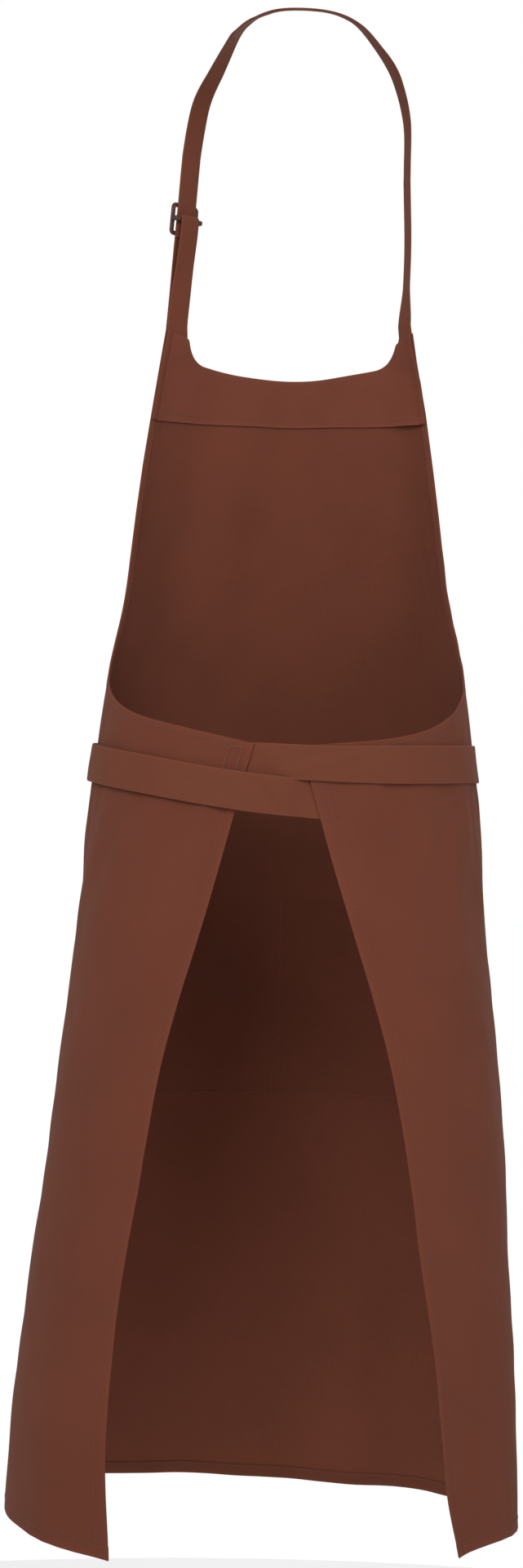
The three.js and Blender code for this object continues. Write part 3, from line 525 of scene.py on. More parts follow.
def sheet(name, s, h, off, thickness, material, tone=1.0, inner_tone=None):
    """A closed sheet of cloth over a grid of places of the cut."""
    columns, rows = s.shape
    off = np.broadcast_to(off, s.shape)
    skins = [on_cloth(s, h, off + side * thickness / 2) for side in (1, -1)]
    index = np.arange(2 * columns * rows).reshape(2, columns, rows)
    front, back = index

    def quads(a, b):
        return np.stack([a[:-1, :-1], a[:-1, 1:], a[1:, 1:], a[1:, :-1]] if b else
                        [a[:-1, :-1], a[1:, :-1], a[1:, 1:], a[:-1, 1:]], axis=-1).reshape(-1, 4)

    rim = []
    for near, far, way in ((front[0], back[0], 1), (front[-1], back[-1], 0),
                           (front[:, 0], back[:, 0], 0), (front[:, -1], back[:, -1], 1)):
        ring = np.stack([near[:-1], far[:-1], far[1:], near[1:]], axis=-1)
        rim.append(ring if way else ring[:, ::-1])
    faces = np.vstack([quads(front, True), quads(back, False), *rim])
    flat = np.stack([np.stack([s, h], axis=-1)] * 2).reshape(-1, 2)
    tones = [np.broadcast_to(x, s.shape) for x in (tone, tone if inner_tone is None else inner_tone)]
    piece = closed_mesh(name, np.stack(skins).reshape(-1, 3), faces, flat, material,
                        np.stack(tones).ravel())
    return crisp(piece)


def finished(piece, body, slot, *nodes):
    """Says what a piece rides on and hides the solids of the frame that it stands for; the slot is not used.
    """
    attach(piece, body)
    if nodes:
        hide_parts(*nodes)
    print(piece.name, len(piece.data.polygons), "faces")
    return piece


# %% [markdown]
# The panel is one piece of cloth from the bib to the hem. Its rows are even in the skirt and close up
# towards the cut top, so that the round armholes come out clean. Its edges are painted a little lighter,
# partly wear and partly a painted highlight along the turned edge. The outer face is painted darker
# towards the hem, and the inner face carries painted shade under the waist, low in the bib and at its
# sides, and behind the pocket, where the double cloth lets less light through.

# %% The panel
def edge_distance(s, h):
    """How far a place is inside the nearest cut edge, roughly, in metres."""
    side = PANEL_HALF_WIDTH - np.abs(s)
    hem = h + SKIRT_DROP
    top = (height_on(cut_top, s) - h) * np.where(np.abs(s) > 0.170, 0.95, 0.30)
    return np.minimum(np.minimum(side, hem), np.maximum(top, 0))


SKIRT_ROWS, TOP_ROWS, ROW_SPLIT = 96, 84, -0.020
columns = columns_for(cut_top, PANEL_HALF_WIDTH, 0.0052)
skirt_rows = np.linspace(-SKIRT_DROP, ROW_SPLIT, SKIRT_ROWS)
rise = np.linspace(0, 1, TOP_ROWS + 1)[1:]
tops = height_on(cut_top, columns)
panel_h = np.hstack([
    np.repeat(skirt_rows[None, :], len(columns), axis=0),
    ROW_SPLIT + (tops[:, None] - ROW_SPLIT) * rise[None, :],
])
panel_s = np.repeat(columns[:, None], panel_h.shape[1], axis=1)
behind_pocket = (np.abs(panel_s) < POCKET_HALF_WIDTH) & (panel_h < POCKET_TOP) & (panel_h > POCKET_BOTTOM)
# Edges lighter: partly wear, partly a painted highlight along the turned edge.
edge_tone = 1.0 + 0.16 * np.exp(-edge_distance(panel_s, panel_h) / 0.0016)
# The outer face is painted darker towards the hem: painted shade, as the light falls from above.
outer_tone = edge_tone * (1.02 - 0.13 * below(panel_h) ** 2)
front = bump(panel_s, 0, 0.26)
# Painted shade on the inner face: darkest just under the waist, then low in the bib and higher up.
painted_inner_shade = (0.34 * bump(panel_h, -0.040, 0.050) + 0.17 * bump(panel_h, 0.075, 0.070)
               + 0.08 * bump(panel_h, 0.210, 0.070))
inner_tone = edge_tone * (1 - front * painted_inner_shade)
# Painted shade at the inner sides of the bib.
inner_tone = inner_tone * (1 - 0.10 * bump(np.abs(panel_s), 0.120, 0.030) * (panel_h > 0.10))
# Painted shade behind the pocket, where the double cloth lets less light through.
inner_tone = np.where(behind_pocket, 0.96 * inner_tone, inner_tone)
panel = sheet("apron_panel_cloth", panel_s, panel_h, 0.0, CLOTH, drill, outer_tone, inner_tone)
finished(panel, "apron", "apron_cloth", "apron_panel")

# %% [markdown]
# Every cut edge is turned in twice and stitched, which is a narrow strip of cloth lying inside the edge.
# It is laid as a sheet of its own along the edge line, a hair inside the panel, so the double thickness
# shows wherever a rim is seen from the side.

# %% Hems
HEM_THICKNESS = 0.0007
HEM_OFF = -(CLOTH + HEM_THICKNESS) / 2 - 0.00005


def finer(route, step):
    """A route of places cut into even steps no longer than the one given."""
    route = np.asarray(route, float)
    length = np.concatenate([[0], np.cumsum(np.linalg.norm(np.diff(route, axis=0), axis=1))])
    stations = np.linspace(0, length[-1], max(2, math.ceil(length[-1] / step) + 1))
    return np.stack([np.interp(stations, length, route[:, k]) for k in (0, 1)], axis=-1)


def inside(route, distance):
    """The route moved sideways to its right, by the distance."""
    run = np.gradient(route, axis=0)
    run /= np.linalg.norm(run, axis=1, keepdims=True)
    return route + distance * np.stack([run[:, 1], -run[:, 0]], axis=-1)


def mirrored(route):
    return np.asarray(route)[::-1] * (-1, 1)


def hem(name, route, width, slot="apron_cloth", off=HEM_OFF, material=drill, step=0.006, tone=1.0):
    """A turned-in strip along an edge; the cloth lies to the right of the route."""
    route = finer(route, step)
    shares = np.array([0.0002, 0.25 * width, 0.55 * width, 0.85 * width, width])
    lines = np.stack([inside(route, share) for share in shares], axis=1)
    roll = np.array([0.00012, 0.0, 0.0, 0.0, 0.00018])
    if callable(off):
        off = off(lines[..., 0], lines[..., 1])
    # The strip is painted lighter, most at its edges: partly wear, partly a painted highlight on the fold.
    tone = tone * np.array([1.18, 1.06, 1.04, 1.04, 1.14])
    piece = sheet(name, lines[..., 0], lines[..., 1], off + roll, HEM_THICKNESS, material, tone[None, :])
    return finished(piece, "apron", slot)


SIDE_HEM, BOTTOM_HEM, ARM_HEM = 0.010, 0.010, 0.0055
side_edge = [(PANEL_HALF_WIDTH, BACK_RISE), (PANEL_HALF_WIDTH, -SKIRT_DROP)]
bottom_edge = [(PANEL_HALF_WIDTH, -SKIRT_DROP), (-PANEL_HALF_WIDTH, -SKIRT_DROP)]
hems = [
    hem("armhole_hem_right", arm_edge, ARM_HEM),
    hem("armhole_hem_left", mirrored(arm_edge), ARM_HEM),
    hem("side_hem_right", side_edge, SIDE_HEM, step=0.008),
    hem("side_hem_left", mirrored(side_edge), SIDE_HEM, step=0.008),
    # The bottom hem is painted darker: painted shade at the bottom of the skirt.
    hem("bottom_hem", bottom_edge, BOTTOM_HEM, tone=0.84),
]

# %% [markdown]
# The facing is a second layer of cloth inside the top of the bib. It hides the ends of the neck straps,
# so it swells a little over them, and its lower edge, stitched down, lifts at one side in a small fold.

# %% The bib facing
FACING_OFF = -0.0016
STRAP_END_SWELL = 0.0019
facing_limit = float(np.interp(-FACING_BOTTOM, -arm_edge[:, 1], arm_edge[:, 0])) - 0.0004
corner_arc = BIB_HALF_WIDTH - CORNER_TAB / 2
facing_columns = columns_for(cut_top, facing_limit, 0.0036)
facing_tops = height_on(cut_top, facing_columns) - 0.0004
facing_rise = np.concatenate([[0, 0.02, 0.05, 0.09], np.linspace(0.14, 0.94, 18), [0.975, 1.0]])
facing_h = FACING_BOTTOM + (facing_tops - FACING_BOTTOM)[:, None] * facing_rise[None, :]
facing_s = np.repeat(facing_columns[:, None], facing_h.shape[1], axis=1)


def facing_off(s, h):
    swell = bump(np.abs(s), corner_arc, 0.013) * np.clip((h - 0.343) / 0.012, 0, 1)
    loose = np.clip((FACING_BOTTOM + 0.012 - h) / 0.012, 0, 1)
    lift = 0.0034 * bump(s, 0.106, 0.014) * loose ** 1.5
    ripple = 0.0006 * np.sin(s / 0.017) * np.clip((h - FACING_BOTTOM) / 0.03, 0, 1)
    return FACING_OFF - STRAP_END_SWELL * swell - lift + 0.5 * ripple * (1 - swell)


facing_edge = np.minimum(facing_h - FACING_BOTTOM, facing_tops[:, None] - facing_h)
# The facing's edges are painted lighter: partly wear, partly a painted highlight on the fold.
facing_tone = 1.0 + 0.14 * np.exp(-facing_edge / 0.0015)
facing = sheet("bib_facing_cloth", facing_s, facing_h, facing_off(facing_s, facing_h), CLOTH, facing_drill,
               facing_tone)
finished(facing, "apron", "facing_cloth", "bib_facing")

bib_side = [(BIB_HALF_WIDTH, BIB_RISE), (facing_limit, FACING_BOTTOM + 0.001)]


def over_facing(s, h):
    return facing_off(s, h) - (CLOTH + HEM_THICKNESS) / 2 - 0.0002


for name, route in (("bib_side_hem_right", bib_side), ("bib_side_hem_left", mirrored(bib_side))):
    hem(name, route, 0.0042, slot="facing_cloth", off=over_facing)

# %% [markdown]
# The pocket is one wide patch on the front of the skirt, stitched round three sides and down the
# middle. Its mouth stands open at each half, because the cloth was cut a little wider than its place,
# and the mouth's edge is turned in and stitched.

# %% The pocket
POCKET_GAPE = 0.013
pocket_columns = np.linspace(-POCKET_HALF_WIDTH, POCKET_HALF_WIDTH, 97)
pocket_rise = np.linspace(0, 1, 41)
pocket_h = POCKET_BOTTOM + (POCKET_TOP - POCKET_BOTTOM) * np.repeat(pocket_rise[None, :], 97, axis=0)
pocket_s = np.repeat(pocket_columns[:, None], 41, axis=1)


def pocket_off(s, h):
    up = np.clip((h - POCKET_BOTTOM) / (POCKET_TOP - POCKET_BOTTOM), 0, 1)
    belly = np.sin(math.pi * np.abs(s) / POCKET_HALF_WIDTH) ** 2
    sag = 0.0012 * np.sin(math.pi * up) * np.sin(2 * math.pi * s / 0.063 + 4 * up)
    return 0.0014 + POCKET_GAPE * belly * up ** 1.2 + sag * belly


from_top_or_side = np.minimum(POCKET_TOP - pocket_h, POCKET_HALF_WIDTH - np.abs(pocket_s))
pocket_edge = np.minimum(pocket_h - POCKET_BOTTOM, from_top_or_side)
# The pocket's edges are painted lighter: partly wear, partly a painted highlight on the fold.
pocket_tone = 1.0 + 0.14 * np.exp(-pocket_edge / 0.0016)
pocket = sheet("front_pocket_cloth", pocket_s, pocket_h, pocket_off(pocket_s, pocket_h), CLOTH, drill,
               pocket_tone)
finished(pocket, "apron", "apron_cloth", "front_pocket")
POCKET_HEM = 0.020
hem_s, hem_rise = pocket_s[:, :6], np.linspace(0, 1, 6)
hem_h = np.repeat((POCKET_TOP - POCKET_HEM + (POCKET_HEM - 0.0003) * hem_rise)[None, :], 97, axis=0)
# The mouth's hem is painted a little lighter: partly wear, partly a painted highlight on its fold.
pocket_hem = sheet("pocket_mouth_hem", hem_s, hem_h, pocket_off(hem_s, hem_h) - 0.00075, HEM_THICKNESS,
                   drill, 1.05)
finished(pocket_hem, "apron", "apron_cloth")

# %% [markdown]
# Straps and ties are flat bands. Each is carried along a middle line as a section with soft edges. The
# section's places are worked out from the line's run and a width direction, so a band can turn, twist
# and lie flat on the cloth, and small lifts make the creases that a pulled tie has.

# %% Ways to make a band
PROFILE_TURNS = 5


def band_profile():
    """A flat section, one wide and one thick, with round edges: places across and through."""
    across = list(np.linspace(-0.86, 0.86, 9))
    edge = [0.86 + 0.14 * math.sin(math.pi * k / (PROFILE_TURNS + 1)) for k in range(1, PROFILE_TURNS + 1)]
    rise = [math.cos(math.pi * k / (PROFILE_TURNS + 1)) for k in range(1, PROFILE_TURNS + 1)]
    top = [(a, 1.0) for a in across]
    right = list(zip(edge, rise))
    bottom = [(-a, -1.0) for a in across]
    left = [(-e, -r) for e, r in zip(edge, rise)]
    return np.array(top + right + bottom + left)


def unit(vectors):
    return vectors / np.linalg.norm(vectors, axis=-1, keepdims=True)


def run_of(places):
    return unit(np.gradient(places, axis=0))


def band_piece(name, places, widths, width, thickness, material=band, share=1.0, lift=None, tone=1.0,
               square=True):
    """A closed band along places, with its width direction at each."""
    places = np.asarray(places, float)
    run = run_of(places)
    widths = unit(np.asarray(widths, float))
    if square:
        widths = unit(widths - run * (widths * run).sum(axis=1, keepdims=True))
    face = unit(np.cross(run, widths))
    length = np.concatenate([[0], np.cumsum(np.linalg.norm(np.diff(places, axis=0), axis=1))])
    profile = band_profile()
    share = np.broadcast_to(share, len(places))
    side = profile[:, 0] * width / 2
    points = (places[:, None, :] + widths[:, None, :] * (share[:, None] * side[None, :])[..., None]
              + face[:, None, :] * (profile[:, 1] * thickness / 2)[None, :, None])
    if lift is not None:
        points = points + face[:, None, :] * lift(length[:, None], profile[None, :, 0])[..., None]
    stations, size = len(places), len(profile)
    index = np.arange(stations * size).reshape(stations, size)
    following = np.roll(index, -1, axis=1)
    faces = np.stack([index[:-1], index[1:], following[1:], following[:-1]], axis=-1).reshape(-1, 4)
    flat = np.stack([np.broadcast_to(side[None, :], index.shape),
                     np.broadcast_to(length[:, None], index.shape)], axis=-1).reshape(-1, 2)
    # The band's rounded edges are painted lighter: partly wear, partly a painted highlight where they catch
    # the light.
    edge_wear_and_highlight = 1.0 + 0.14 * np.clip((np.abs(profile[:, 0]) - 0.86) / 0.14, 0, 1)
    tones = (np.broadcast_to(tone, len(places))[:, None] * edge_wear_and_highlight[None, :]).ravel()
    piece = closed_mesh(name, points.reshape(-1, 3), faces, flat, material, tones)
    close_ends(piece)
    return crisp(piece, 60), float(length[-1])


def close_ends(piece):
    """Closes the two open ends of a band and turns every face out."""
    mesh = piece.data
    work = bmesh.new()
    work.from_mesh(mesh)
    rims = [edge for edge in work.edges if edge.is_boundary]
    bmesh.ops.holes_fill(work, edges=rims, sides=0)
    bmesh.ops.recalc_face_normals(work, faces=work.faces)
    work.to_mesh(mesh)
    work.free()


def catmull_rom(points, count):
    """Evenly spaced places along a smooth curve through the points, and their shares of its length."""
    points = np.array(points, float)
    points = np.vstack([2 * points[0] - points[1], points, 2 * points[-1] - points[-2]])
    places = []
    for p0, p1, p2, p3 in zip(points, points[1:], points[2:], points[3:]):
        d0, d1, d2 = (math.sqrt(np.linalg.norm(b - a)) for a, b in ((p0, p1), (p1, p2), (p2, p3)))
        leave = ((p1 - p0) / d0 - (p2 - p0) / (d0 + d1) + (p2 - p1) / d1) * d1
        arrive = ((p2 - p1) / d1 - (p3 - p1) / (d1 + d2) + (p3 - p2) / d2) * d1
        t = np.linspace(0, 1, 60, endpoint=False)[:, None]
        places.append(p1 + leave * t + (3 * (p2 - p1) - 2 * leave - arrive) * t ** 2
                      + (2 * (p1 - p2) + leave + arrive) * t ** 3)
    places = np.vstack([*places, points[-2:-1]])
    length = np.concatenate([[0], np.cumsum(np.linalg.norm(np.diff(places, axis=0), axis=1))])
    shares = np.linspace(0, 1, count)
    even = np.stack([np.interp(shares * length[-1], length, places[:, k]) for k in range(3)], axis=-1)
    return even, shares


def level_direction(turn):
    turn = np.asarray(turn, float)
    return np.stack([np.cos(turn), np.sin(turn), np.zeros_like(turn)], axis=-1)

# %% [markdown]
# The neck strap goes over the neck from the bib's right corner to the left side, runs straight down
# through the slider, and ends as a free tail in front of the bib. Moving the slider along it raises or
# lowers the apron. The long part rides with the neck; the right-hand leg is sewn to the bib, so it is a
# piece of its own that stretches between the two.

# %% The neck strap
LEG_TURN = math.radians(43)
RIGHT_TURN = math.radians(102)
LEG_LEAN = 0.0757
ARCH_TILT = 0.20
LEG_STAND_OFF = 0.0034
LEG_TOP, TAIL_END, RIGHT_JOIN = 0.520, 0.318, 0.500
leg_up = unit(np.array([LEG_LEAN, 0, 1.0]))
leg = on_cloth(-corner_arc, BIB_RISE, LEG_STAND_OFF, folded=0.0)
right_corner = on_cloth(corner_arc, BIB_RISE, -0.0021, folded=0.0)
right_leg = np.array([right_corner[0], right_corner[1], RIGHT_JOIN + WAIST_Z])
LEFT_ARCH = [(0.914, 0.92, 0.0485), (0.765, 0.752, 0.026), (0.592, 0.496, 0.0064), (0.49, 0.33, 0.0022),
             (0.345, 0.146, 0.0011), (0.128, 0.015, 0.0003)]
RIGHT_ARCH = [(0.222, 0.03, 0.0003), (0.465, 0.2, 0.002), (0.677, 0.48, 0.0103), (0.878, 0.774, 0.0288),
              (0.984, 0.95, 0.0578)]


def on_leg(h):
    return leg + leg_up * (h - BIB_RISE) / leg_up[2]


def arch(end, shares):
    return [(end[0] * x, end[1] * y, STRAP_THICKNESS / 2 - drop) for x, y, drop in shares]


over, shares = catmull_rom([
    on_leg(LEG_TOP - 0.030), on_leg(LEG_TOP - 0.004), on_leg(LEG_TOP), *arch(on_leg(LEG_TOP), LEFT_ARCH),
    *arch(right_leg, RIGHT_ARCH), right_leg + (0, 0, 0.014), right_leg,
], 220)
turns_over = (LEG_TURN + (math.pi / 2 - LEG_TURN) * smoothstep(shares, 0.10, 0.42)
              + (RIGHT_TURN - math.pi / 2) * smoothstep(shares, 0.58, 0.90))
tail = np.array([on_leg(h) for h in np.arange(TAIL_END, LEG_TOP - 0.032, 0.004)])
strap_places = np.vstack([tail, over])
strap_turns = np.concatenate([np.full(len(tail), LEG_TURN), turns_over])


def strap_lift(length, across):
    """A long soft wave, a shallow hollow across the band, and the ripple of its ribs' tension."""
    return 0.00025 * np.sin(length / 0.011) * np.cos(across * 2) + 0.0002 * across ** 2


strap_widths = level_direction(strap_turns)
over_neck = smoothstep(shares, 0.10, 0.42) * (1 - smoothstep(shares, 0.58, 0.90))
strap_widths[len(tail):, 2] = ARCH_TILT * over_neck
strap, strap_length = band_piece("neck_strap_band", strap_places, strap_widths, STRAP_WIDTH,
                                 STRAP_THICKNESS, lift=strap_lift)
finished(strap, "neck_strap", "strap_cloth", "neck_strap")
print("neck strap", round(strap_length, 3), "m from its free end to the right leg")

# %% The right leg, sewn to the bib
SEWN_LENGTH = 0.026
strap_end_off = -0.0015


def cloth_turn(s, h):
    """Which way the cloth's width points, inwards, at a place of the right half."""
    step = 0.001
    across = on_cloth(s - step, h, folded=0.0) - on_cloth(s + step, h, folded=0.0)
    return np.arctan2(across[..., 1], across[..., 0])


corner_turn = float(cloth_turn(corner_arc, BIB_RISE))
STEPS = 60
t = np.linspace(0, 1, STEPS)
leg_top = right_leg
leg_foot = right_corner + (0, 0, 0.007)
leg_places = leg_top + (leg_foot - leg_top) * t[:, None]
bow = 0.0016 * np.sin(math.pi * t)
leg_places[:, 0] += bow
leg_turns = RIGHT_TURN + (corner_turn - RIGHT_TURN) * smoothstep(t, 0.70, 1)
sewn_heights = BIB_RISE - np.linspace(0.002, SEWN_LENGTH, 12)
right_places = np.vstack([leg_places, on_cloth(corner_arc, sewn_heights, strap_end_off)])
right_turns = np.concatenate([leg_turns, cloth_turn(corner_arc, sewn_heights)])
right_strap, right_length = band_piece("right_leg_band", right_places, level_direction(right_turns),
                                       STRAP_WIDTH, STRAP_THICKNESS, lift=strap_lift)
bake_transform(right_strap)
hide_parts("neck_strap_right_leg")
print("right leg", round(right_length, 3), "m")

# %% [markdown]
# The slider is a moulded frame with a middle bar set back behind it. The long strap slides behind the
# middle bar and in front of the frame's two ends. It is shaped from a box: its corners are bevelled,
# its faces are inset, and the insets are bridged to open the window.

# %% The slider
SLIDER_WIDTH = STRAP_WIDTH + 0.002 + 2 * 0.0034
SLIDER_HEIGHT, SLIDER_BAR, SLIDER_THICKNESS = 0.027, 0.004, 0.0022
STRAP_ROOM = 0.0011
BAR_BACK = -0.0028


def only(piece):
    bpy.ops.object.select_all(action="DESELECT")
    piece.select_set(True)
    bpy.context.view_layer.objects.active = piece


def select_by(piece, kind, test):
    """In edit mode, selects the vertices, edges or faces that a test picks."""
    bpy.ops.mesh.select_mode(type=kind)
    bpy.ops.mesh.select_all(action="DESELECT")
    work = bmesh.from_edit_mesh(piece.data)
    parts = {"VERT": work.verts, "EDGE": work.edges, "FACE": work.faces}[kind]
    for part in parts:
        if test(part):
            part.select_set(True)
    bmesh.update_edit_mesh(piece.data)


def rounded_box(name, size, place, radius, segments=4):
    """A box whose four edges through its depth are rounded."""
    bpy.ops.object.select_all(action="DESELECT")
    bpy.ops.mesh.primitive_cube_add(size=1, location=place)
    piece = bpy.context.active_object
    piece.name = name
    piece.scale = size
    bpy.ops.object.transform_apply(location=True, rotation=True, scale=True)
    bpy.ops.object.mode_set(mode="EDIT")
    select_by(piece, "EDGE", lambda e: abs((e.verts[0].co - e.verts[1].co).y) > size[1] * 0.9)
    bpy.ops.mesh.bevel(offset=radius, segments=segments, affect="EDGES")
    bpy.ops.object.mode_set(mode="OBJECT")
    return piece


def open_window(piece, wall):
    """Insets the front and back faces and bridges the insets, which leaves a frame."""
    only(piece)
    bpy.ops.object.mode_set(mode="EDIT")
    select_by(piece, "FACE", lambda f: abs(f.normal.y) > 0.9)
    bpy.ops.mesh.inset(thickness=wall, use_individual=True)
    bpy.ops.mesh.delete(type="ONLY_FACE")
    select_by(piece, "EDGE", lambda e: e.is_boundary)
    bpy.ops.mesh.bridge_edge_loops()
    bpy.ops.mesh.select_all(action="SELECT")
    bpy.ops.mesh.normals_make_consistent(inside=False)
    bpy.ops.object.mode_set(mode="OBJECT")


def modified(piece, kind, **settings):
    only(piece)
    modifier = piece.modifiers.new(kind.lower(), kind)
    for key, value in settings.items():
        setattr(modifier, key, value)
    bpy.ops.object.modifier_apply(modifier=modifier.name)


frame_middle = STRAP_ROOM + SLIDER_THICKNESS / 2
slider = rounded_box("strap_slider_moulding", (SLIDER_WIDTH, SLIDER_THICKNESS, SLIDER_HEIGHT),
                     (0, frame_middle, 0), 0.0042, 6)
open_window(slider, SLIDER_BAR * 0.92)
bar = rounded_box("slider_middle_bar", (SLIDER_WIDTH, SLIDER_THICKNESS, SLIDER_BAR),
                  (0, BAR_BACK - SLIDER_THICKNESS / 2, 0), 0.0012)
bridges = []
bridge_sink = SLIDER_THICKNESS * 0.7
bridge_depth = STRAP_ROOM + bridge_sink - (BAR_BACK - bridge_sink)
for side in (-1, 1):
    bridge = rounded_box("slider_bridge", (0.0034, bridge_depth, SLIDER_BAR),
                         (side * (SLIDER_WIDTH / 2 - 0.0017), (STRAP_ROOM + BAR_BACK) / 2, 0), 0.0011)
    bridges.append(bridge)
leg_face = np.array([-math.sin(LEG_TURN), math.cos(LEG_TURN), 0])
leg_face = unit(leg_face - leg_up * (leg_face @ leg_up))
leg_across = np.cross(leg_face, leg_up)
frame_columns = [Vector(column) for column in (leg_across, leg_face, leg_up, on_leg(SLIDER_RISE))]
leg_frame = Matrix([[column[row] for column in frame_columns] for row in range(3)] + [[0, 0, 0, 1]])
for part in (bar, *bridges):
    modified(part, "BEVEL", width=0.0005, segments=3, limit_method="ANGLE", angle_limit=math.radians(40))
modified(slider, "BEVEL", width=0.0007, segments=3, limit_method="ANGLE", angle_limit=math.radians(40))
for part in (bar, *bridges):
    modified(slider, "BOOLEAN", operation="UNION", object=part, solver="EXACT")
    bpy.data.objects.remove(part)
slider.data.transform(leg_frame)
slider.data.materials.clear()
slider.data.materials.append(moulded)
crisp(slider, 40)
finished(slider, "apron", "slider_plastic", "strap_slider")

# %% [markdown]
# A short strap holds the slider to the bib's left corner. It comes up from between the bib and its
# facing, goes over the middle bar from the front and is sewn down behind it.

# %% The slider's own strap
def in_leg(x, y, z):
    return np.array(leg_frame @ Vector((x, y, z)))


left_face = unit(on_cloth(-corner_arc, BIB_RISE, 0.001, 0.0) - on_cloth(-corner_arc, BIB_RISE, 0.0, 0.0))
left_turn = math.atan2(-left_face[0], left_face[1])
bar_middle = BAR_BACK - SLIDER_THICKNESS / 2
turn_depth = SLIDER_THICKNESS / 2 + 0.0005 + STRAP_THICKNESS / 2
turn_height = SLIDER_BAR / 2 + 0.0005 + STRAP_THICKNESS / 2
SEWN_TURN = 0.015
sewn_left_rises = BIB_RISE + np.array([-0.028, -0.018, -0.010, -0.004, 0.006])
sewn_left = list(on_cloth(-corner_arc, sewn_left_rises, strap_end_off))
rise_to_bar = [in_leg(0, bar_middle - turn_depth + 0.001, -0.027), in_leg(0, bar_middle - turn_depth, -0.012)]
round_bar = [in_leg(0, bar_middle - turn_depth * math.cos(a), turn_height * math.sin(a))
             for a in np.linspace(0, math.pi, 9)]
back_down = [in_leg(0, bar_middle + turn_depth, -SEWN_TURN * share) for share in (0.4, 1.0)]
holder_places, holder_shares = catmull_rom([*sewn_left, *rise_to_bar, *round_bar, *back_down], 150)
holder_turns = left_turn + (LEG_TURN - left_turn) * smoothstep(holder_shares, 0.30, 0.62)
holder, holder_length = band_piece("slider_strap_band", holder_places, level_direction(holder_turns),
                                   STRAP_WIDTH - 0.001, STRAP_THICKNESS, lift=strap_lift)
finished(holder, "apron", "strap_cloth", "slider_strap")
print("slider strap", round(holder_length, 3), "m")

# %% [markdown]
# Each waist tie is sewn to the corner of a back edge and goes round the wearer to the front. The left
# one lies on the cloth. The right one comes out from under its corner and crosses over the left one,
# and where they cross, the pull of the knot lays slanting folds in both.

# %% The waist ties
TIE_THICKNESS = 0.0012
KNOT_RISE, KNOT_WIDTH, KNOT_HEIGHT, KNOT_DEPTH = 0.016, 0.024, 0.027, 0.013
LEFT_START, RIGHT_START = PANEL_HALF_WIDTH - 0.009, PANEL_HALF_WIDTH
LEFT_TIE_OFF, RIGHT_TIE_OFF, UNDER_PANEL = 0.0019, 0.0040, -0.0019


def wrapped(side, start_arc, heights, off_at, steps=300):
    """Places round the body from a back edge to the knot, and the width direction at each."""
    start = turn_at(start_arc, heights[0][1])
    front = turn_at(KNOT_WIDTH / 2 + 0.004, KNOT_RISE)
    t = np.linspace(0, 1, steps)
    turn = side * (start + (2 * math.pi - start - front) * t)
    h = smooth(heights, t)
    places = on_body(turn, h, off_at(t))
    lean = unit(on_body(turn, h + TIE_WIDTH / 2) - on_body(turn, h - TIE_WIDTH / 2))
    return places, lean, t


def ridge(length, across, start, end, width, height):
    """A soft fold along a slanting line, from one (length, across) place to another."""
    a, b = np.array(start), np.array(end)
    line = (b - a) * (1, TIE_WIDTH / 2)
    x, y = length - a[0], (across - a[1]) * TIE_WIDTH / 2
    size = float(line @ line)
    share = (x * line[0] + y * line[1]) / size
    distance = np.abs(x * line[1] - y * line[0]) / math.sqrt(size)
    fade = np.clip(np.minimum(share + 0.15, 1.15 - share) / 0.3, 0, 1)
    return height * np.exp(-((distance / width) ** 2)) * fade * fade * (3 - 2 * fade)


def tie_waves(length, across, seed):
    """The slack that a soft band keeps: slow waves, and a faint curl of its edges."""
    slow = 0.00035 * np.sin(length / 0.019 + seed) * np.sin(across * 1.7 + length / 0.050)
    quick = 0.00012 * np.sin(length / 0.0052 + 2 * seed + across * 2)
    return slow + quick + 0.00015 * across ** 2


def left_tie_lift(length, across):
    folds_here = ridge(length, across, (0.030, -0.70), (0.088, 0.45), 0.0030, 0.0011)
    folds_here = folds_here - ridge(length, across, (0.034, -0.10), (0.075, 0.95), 0.0024, 0.0005)
    return folds_here + tie_waves(length, across, 0.7)


def right_tie_lift(length, across):
    folds_here = -ridge(length, across, (0.024, -0.9), (0.052, 0.9), 0.0030, 0.0010)
    folds_here = folds_here + ridge(length, across, (0.034, -0.9), (0.066, 0.9), 0.0034, 0.0009)
    folds_here = folds_here + ridge(length, across, (0.060, -0.6), (0.120, 0.2), 0.0040, 0.0006)
    return folds_here + tie_waves(length, across, 2.1)


left_heights = [(0, 0.0174), (0.06, 0.0174), (0.18, 0.0165), (0.45, 0.0185), (0.75, 0.0185), (1, KNOT_RISE)]
right_heights = [(0, -0.0116), (0.1, -0.0074), (0.16, -0.0038), (0.33, 0.0075), (0.5, 0.0145), (0.75, 0.016),
                 (1, KNOT_RISE)]
places, lean, t = wrapped(-1, LEFT_START, left_heights,
                          lambda t: UNDER_PANEL + (LEFT_TIE_OFF - UNDER_PANEL) * smoothstep(t, 0.018, 0.120))
narrow = 1 - 0.09 * np.exp(-(((t - 0.10) / 0.10) ** 2))
left_tie, left_length = band_piece("waist_tie_left_band", places, lean, TIE_WIDTH, TIE_THICKNESS,
                                   share=narrow, lift=left_tie_lift, square=False)
finished(left_tie, "apron", "strap_cloth", "waist_tie_left")

places, lean, t = wrapped(1, RIGHT_START, right_heights,
                          lambda t: UNDER_PANEL + (RIGHT_TIE_OFF - UNDER_PANEL) * smoothstep(t, 0.024, 0.085))
right_tie, right_tie_length = band_piece("waist_tie_right_band", places, lean, TIE_WIDTH, TIE_THICKNESS,
                                         lift=right_tie_lift, square=False)
finished(right_tie, "apron", "strap_cloth", "waist_tie_right")
print("waist ties", round(left_length, 3), round(right_tie_length, 3), "m to the knot")

# %% [markdown]
# At the front the ties meet in a bow: a knot with one turn of band across it, two loops that open a
# little, and two ends that hang. Close to the knot the band is gathered into pleats.

